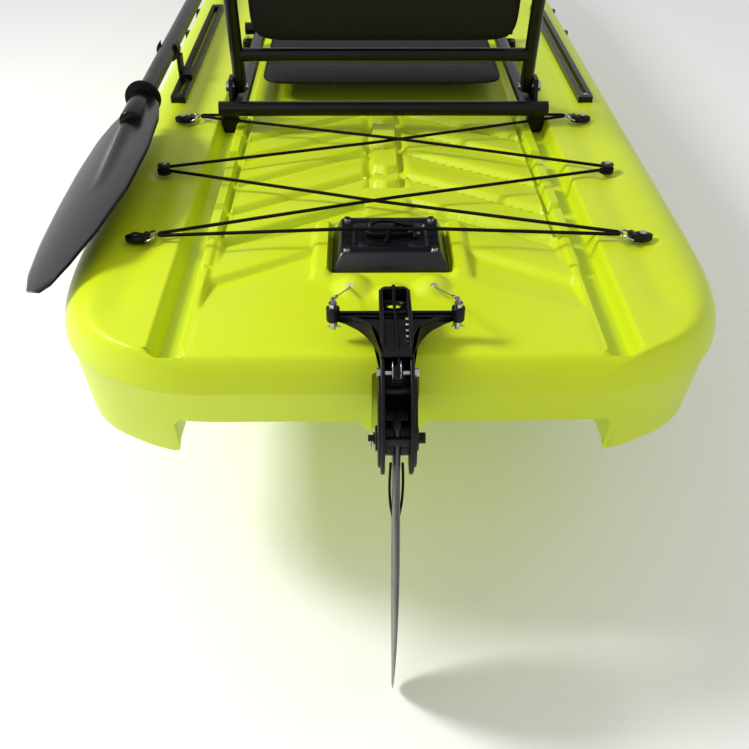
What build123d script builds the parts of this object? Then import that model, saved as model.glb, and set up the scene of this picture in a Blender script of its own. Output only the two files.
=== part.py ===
"""Sit-on-top fishing kayak with a kick-up rudder, a frame seat and a paddle.

Millimetres. +X is starboard, +Y is the bow, +Z is up. The origin is on the
centreline, on the flat keel strip amidships.
"""
from build123d import *
import math
import os

os.makedirs("parts", exist_ok=True)

# ---- hull -------------------------------------------------------------------
hull_length = 3300.0
hull_beam = 890.0
deck_height = 270.0          # side deck above the keel strip
bow_sheer = 80.0             # how much the deck rises to the bow
wall = 5.0                   # rotomoulded wall
stern_rocker = 64.0          # sponson bottoms above the keel plane at the transom
bow_rocker = 175.0
tunnel_roof_stern = 150.0    # tunnel between the sponsons at the transom
tunnel_depth = 35.0          # the same, amidships and forward
keel_strip_half = 34.0
least_foot_width = 24.0      # the sponsons are never narrower than this at the keel
sponson_inner = 285.0        # half distance between the sponson feet
deck_edge_radius = 38.0
parting_drop = 56.0          # parting line of the mould below the side deck
stern_flat_half = 230.0      # the transom is straight this far out from the centreline
stern_corner_length = 370.0  # the plan's corner curve runs this far forward
transom_lean = 0.41          # run forward per height, below the parting line
plan_margin = 16.0           # the plan outline stays this much wider than the beam
bow_taper_length = 1150.0
bow_tip_half = 60.0

stern_y = -hull_length / 2
bow_y = hull_length / 2
deck_edge_y = stern_y + 10.0     # aft edge of the flat deck, datum for the stern fittings

# ---- stern deck -------------------------------------------------------------
gutter_centre = 272.5
gutter_width = 35.0
gutter_depth = 25.0
field_half = 256.0
field_depth = 12.0
groove_depth = 8.0
groove_width = 16.0
groove_pitch = 95.0
groove_count = 5
first_groove = 290.0         # from the deck edge to the first groove's outer end
deck_field_length = 1180.0
plate_recess_depth = 22.0

# ---- wells ------------------------------------------------------------------
footwell_inner = 78.0
footwell_outer = 283.0
footwell_aft = 1240.0        # from the deck edge
footwell_fore = 2300.0
footwell_floor = 80.0
footwell_radius = 45.0
scupper_radius = 18.0
scupper_offset = 150.0
scupper_aft = 1120.0
scupper_fore = 1700.0

# ---- bow hatch --------------------------------------------------------------
hatch_centre = 2650.0        # from the deck edge
hatch_width = 330.0
hatch_length = 400.0
hatch_rim = 10.0
hatch_top = 318.0
hatch_tub_floor = 120.0
hatch_lid_thickness = 14.0
seal_thickness = 4.0

# ---- round hatch ------------------------------------------------------------
round_row = 2365.0
round_radius = 50.0
cup_radius = 44.0
cup_depth = 60.0

# ---- deck rigging -----------------------------------------------------------
anchor_x = 350.0
anchor_rows = (264.0, 693.0)
guide_row = 482.0
bungee_diameter = 5.0
pad_eye_height = 9.0
ring_wire = 3.0

# ---- rudder -----------------------------------------------------------------
steer_offset = -14.0         # steering axis from the deck edge
steer_pin_radius = 5.0
steer_clearance = 0.05
hub_radius = 12.0
lug_top_drop = 34.0
lug_thickness = 8.0
lug_gap = 54.0
head_half = 19.0
head_wall = 5.0
head_lift = 24.0             # underside of the channel above the deck
arm_half = 74.0
arm_row = 30.0
pivot_row = -70.0
pivot_drop = 72.0
pivot_radius = 4.0
blade_thickness = 8.0
blade_reach = 418.0          # pivot to the blade's tip
blade_chord = 130.0

exit_x = 52.0                # cable exits, from the centreline and the deck edge
exit_row = 150.0
exit_radius = 5.5

# ---- seat -------------------------------------------------------------------
seat_rear_row = 675.0
seat_front_row = 1130.0
seat_tube = 25.0
seat_rail_x = 250.0
seat_lift = 30.0             # tube axis above the side deck
back_tube = 22.0
back_height = 430.0
back_lean = 12.0
back_hinge_row = 712.0
back_hinge_lift = 56.0
seat_pad_half = 222.0
pan_setback = 130.0          # seat fabric's rear edge, forward of the rear cross tube
foot_setback = 38.0          # feet inboard of the cross tubes, clear of the bungee

# ---- paddle -----------------------------------------------------------------
paddle_length = 2300.0
paddle_x = -406.0
paddle_lift = 60.0
paddle_tip_row = 140.0       # aft blade tip from the deck edge
paddle_shaft = 30.0
paddle_blade_length = 490.0
paddle_blade_width = 180.0
paddle_blade_tilt = 40.0

# ---- gear tracks ------------------------------------------------------------
track_x = 376.5
track_width = 27.0
track_height = 11.0
track_spans = ((780.0, 1380.0), (1600.0, 1980.0))
clip_rows = (900.0, 1720.0)


def at_row(row):
    """Return the y of a row measured forward from the stern deck edge."""
    return deck_edge_y + row


def ease(value, start, end):
    """Return 0 before start, 1 after end and a smooth step between them."""
    share = min(max((value - start) / (end - start), 0.0), 1.0)
    return share * share * (3 - 2 * share)


def half_beam(y):
    """Return the hull's half beam at y, with the rounded corners of the stern."""
    if y < stern_y + stern_corner_length:
        left = 1 - max(y - stern_y, 0.0) / stern_corner_length
        corner = hull_beam / 2 - stern_flat_half
        return stern_flat_half + corner * math.sqrt(1 - left ** 3.8)
    share = min(max((y - (bow_y - bow_taper_length)) / bow_taper_length, 0.0), 1.0)
    return bow_tip_half + (hull_beam / 2 - bow_tip_half) * (1 - share ** 2.5) ** 0.8


def deck_line(y):
    """Return the side deck's height at y, with the rounded edge over the transom."""
    from_stern = max(y - stern_y, 0.0)
    rise = bow_sheer * ease(y, bow_y - 1150, bow_y + 500)
    rounding = max(34.0 - from_stern, 0.0) / 34.0
    return deck_height + rise - 50.0 * rounding ** 2.2


def keel_line(y):
    """Return the height of the sponson bottoms at y."""
    aft = stern_rocker * (1 - ease(y, stern_y - 300, stern_y + 900)) / 0.844
    share = max((y - (bow_y - 1000)) / 1000, 0.0)
    return min(aft, stern_rocker) + bow_rocker * share ** 2.2


def tunnel_line(y):
    """Return the height of the tunnel's roof at y."""
    stern_depth = tunnel_roof_stern - stern_rocker
    depth = stern_depth + (tunnel_depth - stern_depth) * ease(y, stern_y, stern_y + 1000)
    return keel_line(y) + depth - (tunnel_depth - 14) * ease(y, bow_y - 1000, bow_y)


def strip_line(y):
    """Return the height of the keel strip's bottom at y."""
    depth = 22 + (tunnel_depth - 22) * ease(y, stern_y, stern_y + 1000)
    return tunnel_line(y) - depth + 12 * ease(y, bow_y - 900, bow_y)


def hull_section(y, inset):
    """Return the hull's closed outline at y, drawn inside it by the inset."""
    beam = half_beam(y)
    deck = deck_line(y) - inset
    keel = keel_line(y) + inset
    roof = tunnel_line(y) + inset
    strip = strip_line(y) + inset
    foot = sponson_inner * beam / (hull_beam / 2) if y > 0 else sponson_inner
    foot = min(foot, beam - 22 * beam / 445 - least_foot_width) + inset
    strip_half = keel_strip_half * min(beam / 200, 1.0) - inset
    side = beam - inset
    parting = min(parting_drop, 0.35 * (deck - keel))
    right = [
        (side, deck),
        (side, deck - parting),
        (side - 22 * beam / 445, keel),
        (foot, keel),
        (foot - 22 * beam / 445, roof),
        (strip_half + 8, roof),
        (strip_half, strip),
    ]
    edge = min(deck_edge_radius, 0.6 * side, 0.7 * parting)
    radii = [edge, 0.0, min(24.0, 0.3 * (side - foot)), 0.0, 0.0, 0.0, 0.0]
    left = [(-x, z) for x, z in reversed(right)]
    plane = Plane(origin=(0, y, 0), x_dir=(1, 0, 0), z_dir=(0, -1, 0))
    with BuildSketch(plane, mode=Mode.PRIVATE) as outline:
        with BuildLine():
            FilletPolyline(*right, *left, radius=radii + radii[::-1], close=True)
        make_face()
    return outline.sketch.face()


station_rows = [0, 4, 10, 20, 34, 60, 100, 160, 240, 370, 600, 1000, 1500, 2000, 2300, 2500, 2700,
                2850, 3000, 3100, 3180, 3240, 3280, 3300]
end_margin = 20.0            # the loft runs past both ends, and the plan outline trims it
stations = [stern_y - end_margin]
stations += [stern_y + row * hull_length / 3300 for row in station_rows]
stations += [bow_y + end_margin]


def save(builder, name):
    """Label a finished piece and write it to its own file."""
    builder.part.label = name
    export_step(builder.part, "parts/" + name + ".step")


def block(centre, size, radius=0.0):
    """Add a box by its centre and size, with its upright edges rounded."""
    with BuildSketch(Plane.XY.offset(centre[2] - size[2] / 2), mode=Mode.PRIVATE) as outline:
        with Locations((centre[0], centre[1])):
            if radius > 0:
                RectangleRounded(size[0], size[1], radius)
            else:
                Rectangle(size[0], size[1])
    extrude(outline.sketch, amount=size[2])


def rod(start, end, radius, mode=Mode.ADD):
    """Add or cut a straight round bar between two points."""
    direction = Vector(*end) - Vector(*start)
    with BuildSketch(Plane(origin=start, z_dir=direction), mode=Mode.PRIVATE) as face:
        Circle(radius)
    extrude(face.sketch, amount=direction.length, mode=mode)


def side_profile(x, points, thickness, mode=Mode.ADD):
    """Add a plate drawn in the y-z plane, centred on x."""
    plane = Plane(origin=(x - thickness / 2, 0, 0), x_dir=(0, 1, 0), z_dir=(1, 0, 0))
    with BuildSketch(plane, mode=Mode.PRIVATE) as outline:
        with BuildLine():
            Polyline(*points, close=True)
        make_face()
    extrude(outline.sketch, amount=thickness, mode=mode)


def cut_box(x, y_low, y_high, z_low, z_high, width, radius, mode=Mode.SUBTRACT):
    """Cut an upright block with rounded corners out of the part being built."""
    with BuildSketch(Plane.XY.offset(z_low), mode=Mode.PRIVATE) as outline:
        with Locations((x, (y_low + y_high) / 2)):
            RectangleRounded(width, y_high - y_low, radius)
    extrude(outline.sketch, amount=z_high - z_low, mode=mode)


def cut_wells(skin):
    """Cut every recess in the deck, grown by a skin on its sides and floor."""
    sky = 600.0
    for side in (-1, 1):
        cut_box(side * gutter_centre, at_row(4) - skin, at_row(deck_field_length) + skin,
                deck_height - gutter_depth - skin, sky, gutter_width + 2 * skin, 12.0 + skin)
        cut_box(side * (footwell_inner + footwell_outer) / 2, at_row(footwell_aft) - skin,
                at_row(footwell_fore) + skin, footwell_floor - skin, sky,
                footwell_outer - footwell_inner + 2 * skin, footwell_radius + skin)
        for row in (scupper_aft, scupper_fore):
            with BuildSketch(Plane.XY.offset(-20), mode=Mode.PRIVATE) as drain:
                with Locations((side * scupper_offset, at_row(row))):
                    Circle(scupper_radius + skin)
            extrude(drain.sketch, amount=sky, mode=Mode.SUBTRACT)
    field_skin = skin + (groove_depth if skin else 0.0)
    cut_box(0, at_row(25) - skin, at_row(deck_field_length) + skin,
            deck_height - field_depth - field_skin, sky, 2 * field_half + 2 * skin, 15.0 + skin)
    cut_box(0, at_row(186) - skin, at_row(318) + skin, deck_height - plate_recess_depth - skin,
            sky, 168.0 + 2 * skin, 8.0 + skin)
    cut_box(0, at_row(hatch_centre) - hatch_length / 2 - skin,
            at_row(hatch_centre) + hatch_length / 2 + skin, hatch_tub_floor - skin, sky,
            hatch_width + 2 * skin, 60.0 + skin)
    cup_floor = deck_line(at_row(round_row)) - cup_depth - skin
    with BuildSketch(Plane.XY.offset(cup_floor), mode=Mode.PRIVATE) as cup:
        with Locations((0, at_row(round_row))):
            Circle(cup_radius + skin)
    extrude(cup.sketch, amount=sky, mode=Mode.SUBTRACT)
    cut_box(0, stern_y - 60, at_row(38) + skin, stern_rocker - 40,
            deck_height - 26.0 + skin, 56.0 + 2 * skin, 8.0 + skin)


def trim_to_plan(inset):
    """Keep only what lies inside the hull's outline seen from above."""
    with BuildSketch(Plane.XY.offset(-60), mode=Mode.PRIVATE) as plan:
        Rectangle(hull_beam + plan_margin - 2 * inset, hull_length - 2 * inset)
    extrude(plan.sketch, amount=700, mode=Mode.INTERSECT)


def lean_transom(skin):
    """Cut the transom back below the parting line, more the lower it is."""
    top = deck_height - parting_drop
    foot = stern_y + skin + transom_lean * (top + 20)
    points = [(stern_y - 60, top), (stern_y + skin, top), (foot, -20), (stern_y - 60, -20)]
    side_profile(0, points, hull_beam + 200, Mode.SUBTRACT)


field_top = deck_height - field_depth
round_y = at_row(round_row)


def exit_ends(side):
    """Return the two ends of a cable exit's axis."""
    low = (side * exit_x, at_row(exit_row) + 3, field_top + 4)
    high = (side * (exit_x + 2), at_row(exit_row) - 8.5, field_top + 11.6)
    return low, high


with BuildPart() as hull_cavity:
    loft([hull_section(y, wall) for y in stations], ruled=True)
    trim_to_plan(wall)
    lean_transom(1.1 * wall)
    cut_wells(wall)

with BuildPart() as hull:
    loft([hull_section(y, 0.0) for y in stations], ruled=True)
    trim_to_plan(0.0)
    lean_transom(0.0)
    # raised rim round the bow hatch
    cut_box(0, at_row(hatch_centre) - hatch_length / 2 - hatch_rim,
            at_row(hatch_centre) + hatch_length / 2 + hatch_rim, hatch_tub_floor + 60,
            hatch_top, hatch_width + 2 * hatch_rim, 60.0 + hatch_rim, Mode.ADD)
    cut_wells(0.0)
    # chevron drainage grooves
    for side in (-1, 1):
        for step in range(groove_count):
            row = first_groove + step * groove_pitch
            with BuildSketch(Plane.XY.offset(deck_height - field_depth - groove_depth)) as groove:
                with BuildLine():
                    Polyline(
                        (side * 232, at_row(row)),
                        (side * 42, at_row(row + 117)),
                        (side * 42, at_row(row + 117 + groove_width)),
                        (side * 232, at_row(row + groove_width)),
                        close=True,
                    )
                make_face()
            extrude(amount=groove_depth + 1, mode=Mode.SUBTRACT)
    # domes that the rudder cables come out of, and one on the centreline
    for x, row in ((-52, 160), (52, 160), (0, 138)):
        with BuildSketch(Plane.XY.offset(deck_height - field_depth - 1)) as dome_foot:
            with Locations((x, at_row(row))):
                Circle(22)
        extrude(amount=11, taper=35)
    # sockets of the cable exits, and the seat of the round hatch's rim
    for side in (-1, 1):
        rod(*exit_ends(side), exit_radius, Mode.SUBTRACT)
    with BuildSketch(Plane.XY.offset(deck_line(round_y)), mode=Mode.PRIVATE) as rim_seat:
        with Locations((0, round_y)):
            Circle(round_radius + 16.2)
    extrude(rim_seat.sketch, amount=30, mode=Mode.SUBTRACT)
    add(hull_cavity.part, mode=Mode.SUBTRACT)
save(hull, "hull")

# ---- bungee, its anchors and guides -----------------------------------------
anchor_points = [(side * anchor_x, row) for side in (-1, 1) for row in anchor_rows]
ring_reach = 26.0            # from an anchor's centre to the far side of its ring
cord_height = deck_height + pad_eye_height + 1.0

with BuildPart() as pad_eyes:
    for x, row in anchor_points:
        block((x, at_row(row), deck_height + pad_eye_height / 2), (34, 16, pad_eye_height), 7.5)
    for x, row in anchor_points:
        inward = -1 if x > 0 else 1
        rod((x + inward * 12, at_row(row) - 9, deck_height + 5),
            (x + inward * 12, at_row(row) + 9, deck_height + 5), 2.2, Mode.SUBTRACT)
save(pad_eyes, "pad_eyes")

with BuildPart() as anchor_rings:
    for x, row in anchor_points:
        inward = -1 if x > 0 else 1
        near = x + inward * 12
        far = x + inward * ring_reach
        corners = [
            (near, at_row(row) + 8.6, deck_height + 5),
            (near, at_row(row) + 12, deck_height + 5),
            (far - inward * 6, at_row(row) + 11, cord_height),
            (far, at_row(row), cord_height),
            (far - inward * 6, at_row(row) - 11, cord_height),
            (near, at_row(row) - 12, deck_height + 5),
            (near, at_row(row) - 8.6, deck_height + 5),
        ]
        with BuildLine(mode=Mode.PRIVATE) as bend:
            Polyline(*corners)
        with BuildSketch(Plane(origin=corners[0], z_dir=(0, 1, 0)), mode=Mode.PRIVATE) as wire:
            Circle(ring_wire / 2)
        sweep(wire.sketch, path=bend.wires()[0], transition=Transition.RIGHT)
    for x, row in anchor_points:
        inward = -1 if x > 0 else 1
        rod((x + inward * 12, at_row(row) - 8.7, deck_height + 5),
            (x + inward * 12, at_row(row) + 8.7, deck_height + 5), ring_wire / 2)
save(anchor_rings, "anchor_rings")

with BuildPart() as anchor_screws:
    for x, row in anchor_points:
        outward = 1 if x > 0 else -1
        with Locations((x + outward * 3, at_row(row), deck_height + pad_eye_height + 1.2)):
            Cylinder(5, 2.4)
    for side in (-1, 1):
        with Locations((side * anchor_x, at_row(guide_row), deck_height + 15.2)):
            Cylinder(5, 2.4)
save(anchor_screws, "anchor_screws")

with BuildPart() as cord_guides:
    for side in (-1, 1):
        with Locations((side * anchor_x, at_row(guide_row), deck_height)):
            Cylinder(11, 4, align=(Align.CENTER, Align.CENTER, Align.MIN))
            Cylinder(5.7, 11, align=(Align.CENTER, Align.CENTER, Align.MIN))
        with Locations((side * anchor_x, at_row(guide_row), deck_height + 11)):
            Cylinder(10, 3, align=(Align.CENTER, Align.CENTER, Align.MIN))
save(cord_guides, "cord_guides")

# The taut loop zigzags between the rings and guides and rides over itself.
over = 3.5
ring_x = anchor_x - ring_reach - bungee_diameter / 2 - 2.0
guide_x = anchor_x - 8.6
rear = at_row(anchor_rows[0])
front = at_row(anchor_rows[1])
guide = at_row(guide_row)
z_cord = cord_height
z_guide = deck_height + 7.5


def bungee_run(start, end, lift):
    """Return a straight run of the bungee, lifted at its middle."""
    middle = [(a + b) / 2 for a, b in zip(start, end)]
    middle[2] = middle[2] + lift
    return [start, tuple(middle), end]


turn = 3.5                   # half the gap between the two cords at a ring
port_front = [(-ring_x, front + turn, z_cord), (-ring_x, front - turn, z_cord)]
star_guide = [(guide_x, guide + 7.5, z_guide), (guide_x, guide - 7.5, z_guide)]
port_rear = [(-ring_x, rear + turn, z_cord), (-ring_x, rear - turn, z_cord)]
star_rear = [(ring_x, rear - turn, z_cord), (ring_x, rear + turn, z_cord)]
port_guide = [(-guide_x, guide - 7.5, z_guide), (-guide_x, guide + 7.5, z_guide)]
star_front = [(ring_x, front - turn, z_cord), (ring_x, front + turn, z_cord)]

def around_guide(side, first):
    """Return the bungee's points round a guide, starting on its fore or aft side."""
    centre = side * anchor_x
    return [
        (centre, guide + first * 9.0, z_guide),
        (centre + side * 8.0, guide + first * 6.5, z_guide),
        (centre + side * 8.0, guide - first * 6.5, z_guide),
        (centre, guide - first * 9.0, z_guide),
    ]


def joint_points(side, y, z):
    """Return the level points where the two halves of the loop meet, middle first."""
    return [(0, y, z), (side * 60, y, z)]


z_rear_top = z_cord + over + 6.0
z_front_top = z_cord + 1.0
star_half = joint_points(1, rear - turn, z_rear_top)
star_half += star_rear[:1]
star_half += bungee_run(star_rear[1], port_guide[0], -over)
star_half += around_guide(-1, -1)
star_half += bungee_run(port_guide[1], star_front[0], -over)
star_half += star_front[1:]
star_half += reversed(joint_points(1, front + turn, z_front_top))
port_half = joint_points(-1, front + turn, z_front_top)
port_half += port_front[:1]
port_half += bungee_run(port_front[1], star_guide[0], over)
port_half += around_guide(1, 1)
port_half += bungee_run(star_guide[1], port_rear[0], over)
port_half += port_rear[1:]
port_half += reversed(joint_points(-1, rear - turn, z_rear_top))
with BuildPart() as bungee_cord:
    for half in (star_half, port_half):
        with BuildLine(mode=Mode.PRIVATE) as bungee_path:
            FilletPolyline(*half, radius=3.2)
        path_wire = bungee_path.wires()[0]
        start_plane = Plane(origin=path_wire @ 0, z_dir=path_wire % 0)
        with BuildSketch(start_plane, mode=Mode.PRIVATE) as cord_section:
            Circle(bungee_diameter / 2)
        sweep(cord_section.sketch, path=path_wire)
save(bungee_cord, "bungee_cord")

# ---- cover plate over the transducer pocket ---------------------------------
plate_row = 260.0
plate_base = deck_height - plate_recess_depth
plate_top = deck_height + 8.0
bolt_spacing_x = 119.0
bolt_spacing_y = 85.0
with BuildPart() as rear_plate:
    with BuildSketch(Plane.XY.offset(plate_base)) as plate_foot:
        with Locations((0, at_row(plate_row - 6))):
            RectangleRounded(160, 122, 5)
    with BuildSketch(Plane.XY.offset(plate_top)) as plate_face:
        with Locations((0, at_row(plate_row + 5))):
            RectangleRounded(136, 102, 5)
    loft()
    with Locations((0, at_row(plate_row + 5), plate_top)):
        Box(92, 56, 6, mode=Mode.SUBTRACT)
    with Locations((0, at_row(plate_row + 5), plate_top)):
        with GridLocations(bolt_spacing_x, bolt_spacing_y, 2, 2):
            Hole(2.75, 50)
save(rear_plate, "rear_plate")

with BuildPart() as plate_bolts:
    with Locations((0, at_row(plate_row + 5), plate_top)):
        with GridLocations(bolt_spacing_x, bolt_spacing_y, 2, 2):
            Cylinder(6, 1.2, align=(Align.CENTER, Align.CENTER, Align.MIN))
            Cylinder(4.4, 4, align=(Align.CENTER, Align.CENTER, Align.MIN))
            Cylinder(2.7, 22, align=(Align.CENTER, Align.CENTER, Align.MAX))
save(plate_bolts, "plate_bolts")

with BuildPart() as plate_cleat:
    block((-2, at_row(plate_row + 8), plate_top + 0.5), (62, 16, 7), 4)
    block((22, at_row(plate_row + 8), plate_top + 5), (18, 18, 6), 4)
    block((-26, at_row(plate_row + 8), plate_top + 5), (10, 12, 6), 3)
save(plate_cleat, "plate_cleat")

# ---- rudder -----------------------------------------------------------------
steer_y = at_row(steer_offset)
lug_top = deck_height - lug_top_drop
lug_low = lug_top - lug_thickness - lug_gap - lug_thickness
bracket_wall = at_row(38.0)
with BuildPart() as rudder_bracket:
    block((0, bracket_wall - 3, (lug_top + lug_low) / 2), (38, 6, lug_top - lug_low))
    for z in (lug_top - lug_thickness / 2, lug_low + lug_thickness / 2):
        block((0, (bracket_wall + steer_y) / 2, z), (20, bracket_wall - steer_y, lug_thickness))
        with Locations((0, steer_y, z)):
            Cylinder(12, lug_thickness)
    with Locations((0, steer_y, (lug_top + lug_low) / 2)):
        Cylinder(steer_pin_radius, 120, mode=Mode.SUBTRACT)
save(rudder_bracket, "rudder_bracket")

with BuildPart() as steering_pin:
    with Locations((0, steer_y, lug_low - 6)):
        Cylinder(steer_pin_radius, lug_top - lug_low + 6,
                 align=(Align.CENTER, Align.CENTER, Align.MIN))
    with Locations((0, steer_y, lug_top)):
        Cylinder(8.5, 3, align=(Align.CENTER, Align.CENTER, Align.MIN))
save(steering_pin, "steering_pin")

hub_top = lug_top - lug_thickness - 0.5
hub_low = lug_low + lug_thickness + 0.5
head_z = deck_height + head_lift
pivot_y = at_row(pivot_row)
pivot_z = deck_height - pivot_drop
head_back = steer_y - 16.0   # front of the cheeks, clear of the lugs as the head turns
channel_outline = [
    (at_row(80), head_z - 8),
    (at_row(80), head_z + 12),
    (at_row(20), head_z + 15),
    (at_row(-44), deck_height + 22),
    (at_row(-96), deck_height - 16),
    (at_row(-104), pivot_z - 30),
    (at_row(-88), pivot_z - 52),
    (at_row(-52), pivot_z - 48),
    (head_back, pivot_z - 6),
    (head_back, deck_height - 10),
    (at_row(-14), deck_height + 4),
    (at_row(26), deck_height + 10),
    (at_row(44), head_z - 8),
]
bolt_y = at_row(-48)
bolt_z = deck_height + 6.0
sheave_radius = 11.0
rope_radius = 2.0
rope_z = head_z + 5.0
with BuildPart() as rudder_head:
    side_profile(0, channel_outline, 2 * head_half)
    # tiller arm with a curved gusset under each side
    with BuildSketch(Plane.XY.offset(head_z)) as arm:
        with Locations((0, at_row(arm_row))):
            RectangleRounded(2 * arm_half, 16, 6)
    extrude(amount=6)
    for side in (-1, 1):
        gusset_plane = Plane(origin=(0, at_row(arm_row) + 2, 0), x_dir=(1, 0, 0), z_dir=(0, -1, 0))
        with BuildSketch(gusset_plane, mode=Mode.PRIVATE) as gusset:
            with BuildLine():
                top_end = (side * (arm_half - 6), head_z + 3)
                top_root = (side * 12, head_z + 3)
                low_root = (side * 12, head_z - 18)
                Line(top_end, top_root)
                Line(top_root, low_root)
                ThreePointArc(low_root, (side * 34, head_z - 7), top_end)
            make_face()
        extrude(gusset.sketch, amount=4)
        with Locations((side * (arm_half - 1), at_row(arm_row), head_z)):
            Cylinder(8, 18, align=(Align.CENTER, Align.CENTER, Align.MIN))
    slot_half = head_half - head_wall
    # open slot for the rope and the blade, closed by a floor over the deck
    side_profile(0, [
        (at_row(72), head_z - 3),
        (at_row(72), head_z + 60),
        (at_row(-140), head_z + 60),
        (at_row(-140), pivot_z - 90),
        (head_back - head_wall, pivot_z - 90),
        (head_back - head_wall, deck_height - 4),
        (at_row(24), head_z - 4),
        (at_row(44), head_z - 3),
    ], 2 * slot_half, Mode.SUBTRACT)
    # hub between the lugs, and its web to the back of the cheeks
    with Locations((0, steer_y, hub_low)):
        Cylinder(hub_radius, hub_top - hub_low, align=(Align.CENTER, Align.CENTER, Align.MIN))
    block((0, (steer_y + head_back) / 2 - 2, (hub_low + hub_top) / 2),
          (16, steer_y - head_back + 4, hub_top - hub_low))
    # bridge between the cheeks over the blade's head
    block((0, at_row(-66), deck_height - 22), (2 * head_half - 2, 9, 9))
    # bore of the steering pin, the blade's pivot and the sheave's bolt
    with Locations((0, steer_y, (hub_low + hub_top) / 2)):
        Cylinder(steer_pin_radius + steer_clearance, hub_top - hub_low + 10, mode=Mode.SUBTRACT)
    rod((-60, pivot_y, pivot_z), (60, pivot_y, pivot_z), pivot_radius, Mode.SUBTRACT)
    rod((-60, bolt_y, bolt_z), (60, bolt_y, bolt_z), 3.0, Mode.SUBTRACT)
    rod((-1, at_row(60), rope_z), (-1, at_row(100), rope_z), rope_radius + 0.3, Mode.SUBTRACT)
    for side in (-1, 1):
        with Locations((side * (arm_half - 1), at_row(arm_row), head_z)):
            Cylinder(3, 60, mode=Mode.SUBTRACT)
save(rudder_head, "rudder_head")

with BuildPart() as head_bolt:
    rod((-head_half - 4, bolt_y, bolt_z), (head_half + 6, bolt_y, bolt_z), 3.0)
    rod((-head_half - 4, bolt_y, bolt_z), (-head_half, bolt_y, bolt_z), 5.5)
    rod((head_half, bolt_y, bolt_z), (head_half + 5, bolt_y, bolt_z), 5.0)
save(head_bolt, "head_bolt")

with BuildPart() as rope_sheave:
    rod((-6, bolt_y, bolt_z), (6, bolt_y, bolt_z), sheave_radius)
    rod((-7, bolt_y, bolt_z), (7, bolt_y, bolt_z), 3.05, Mode.SUBTRACT)
save(rope_sheave, "rope_sheave")

with BuildPart() as blade_pivot_pin:
    rod((-head_half - 14, pivot_y, pivot_z), (head_half + 4, pivot_y, pivot_z), pivot_radius)
    rod((-head_half - 8, pivot_y, pivot_z), (-head_half, pivot_y, pivot_z), 7)
    rod((head_half, pivot_y, pivot_z), (head_half + 14, pivot_y, pivot_z), 6.5)
save(blade_pivot_pin, "blade_pivot_pin")

with BuildPart() as split_ring:
    with Locations(Plane(origin=(-head_half - 12, pivot_y, pivot_z - 7.0), z_dir=(1, 0, 0))):
        Torus(7.0, 0.9)
    rod((-60, pivot_y, pivot_z), (60, pivot_y, pivot_z), pivot_radius, Mode.SUBTRACT)
save(split_ring, "split_ring")

blade_tip = pivot_z - blade_reach
lift_cord_radius = 1.6
cord_side = 6.4
cord_holes = ((pivot_y - 12, pivot_z - 44), (pivot_y - 16, pivot_z - 96))
with BuildPart() as rudder_blade:
    blade_plane = Plane(origin=(-blade_thickness / 2, 0, 0), x_dir=(0, 1, 0), z_dir=(1, 0, 0))
    with BuildSketch(blade_plane, mode=Mode.PRIVATE) as blade_outline:
        with BuildLine():
            head_front = (pivot_y + 24, pivot_z)
            head_rear = (pivot_y - 24, pivot_z)
            front = (pivot_y + 24, pivot_z - 120)
            tip_front = (pivot_y - 26, blade_tip + 8)
            tip_rear = (pivot_y - 52, blade_tip + 8)
            rear = (pivot_y - 24, pivot_z - 60)
            Line(head_front, front)
            Spline(front, (pivot_y + 18, pivot_z - 260), tip_front)
            ThreePointArc(tip_front, (pivot_y - 38, blade_tip), tip_rear)
            Spline(tip_rear, (pivot_y - blade_chord + 24, pivot_z - 270),
                   (pivot_y - blade_chord + 30, pivot_z - 170), rear)
            Line(rear, head_rear)
            ThreePointArc(head_rear, (pivot_y, pivot_z + 24), head_front)
        make_face()
    extrude(blade_outline.sketch, amount=blade_thickness)
    rod((-20, pivot_y, pivot_z), (20, pivot_y, pivot_z), pivot_radius + steer_clearance,
        Mode.SUBTRACT)
    for hole_y, hole_z in cord_holes:
        rod((-20, hole_y, hole_z), (20, hole_y, hole_z), lift_cord_radius + 0.1, Mode.SUBTRACT)
save(rudder_blade, "rudder_blade")

with BuildPart() as blade_spacers:
    for side in (-1, 1):
        rod((side * (blade_thickness / 2 + 0.3), pivot_y, pivot_z),
            (side * (slot_half - 0.3), pivot_y, pivot_z), 20)
        rod((side * (blade_thickness / 2 + 0.3), pivot_y, pivot_z),
            (side * (slot_half - 0.3), pivot_y, pivot_z), pivot_radius + steer_clearance,
            Mode.SUBTRACT)
save(blade_spacers, "blade_spacers")

with BuildPart() as blade_cord:
    (top_y, top_z), (low_y, low_z) = cord_holes
    for side in (-1, 1):
        rod((side * cord_side, top_y, top_z), (side * cord_side, low_y, low_z), lift_cord_radius)
    for y, z in cord_holes:
        rod((-cord_side, y, z), (cord_side, y, z), lift_cord_radius)
        for side in (-1, 1):
            with Locations((side * cord_side, y, z)):
                Sphere(lift_cord_radius)
save(blade_cord, "blade_cord")

with BuildPart() as lift_rope:
    rod((-1, at_row(80), rope_z), (-1, at_row(66), rope_z), rope_radius)
    rod((-1, at_row(66), rope_z), (-1, bolt_y + 5, bolt_z + sheave_radius + 1.6), rope_radius)
    with Locations((-1, at_row(66), rope_z)):
        Sphere(rope_radius)
save(lift_rope, "lift_rope")

with BuildPart() as rope_knob:
    rod((-1, at_row(80.2), rope_z), (-1, at_row(90), rope_z), 5.0)
save(rope_knob, "rope_knob")

# ---- steering cables --------------------------------------------------------
pin_x = arm_half - 1
for side, name in ((-1, "port"), (1, "starboard")):
    start = (side * (exit_x + 2), at_row(exit_row) - 9, field_top + 12)
    end = (side * pin_x, at_row(arm_row + 13), head_z + 21)
    with BuildPart() as steering_cable:
        rod(start, end, 1.0)
    save(steering_cable, "steering_cable_" + name)

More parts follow.
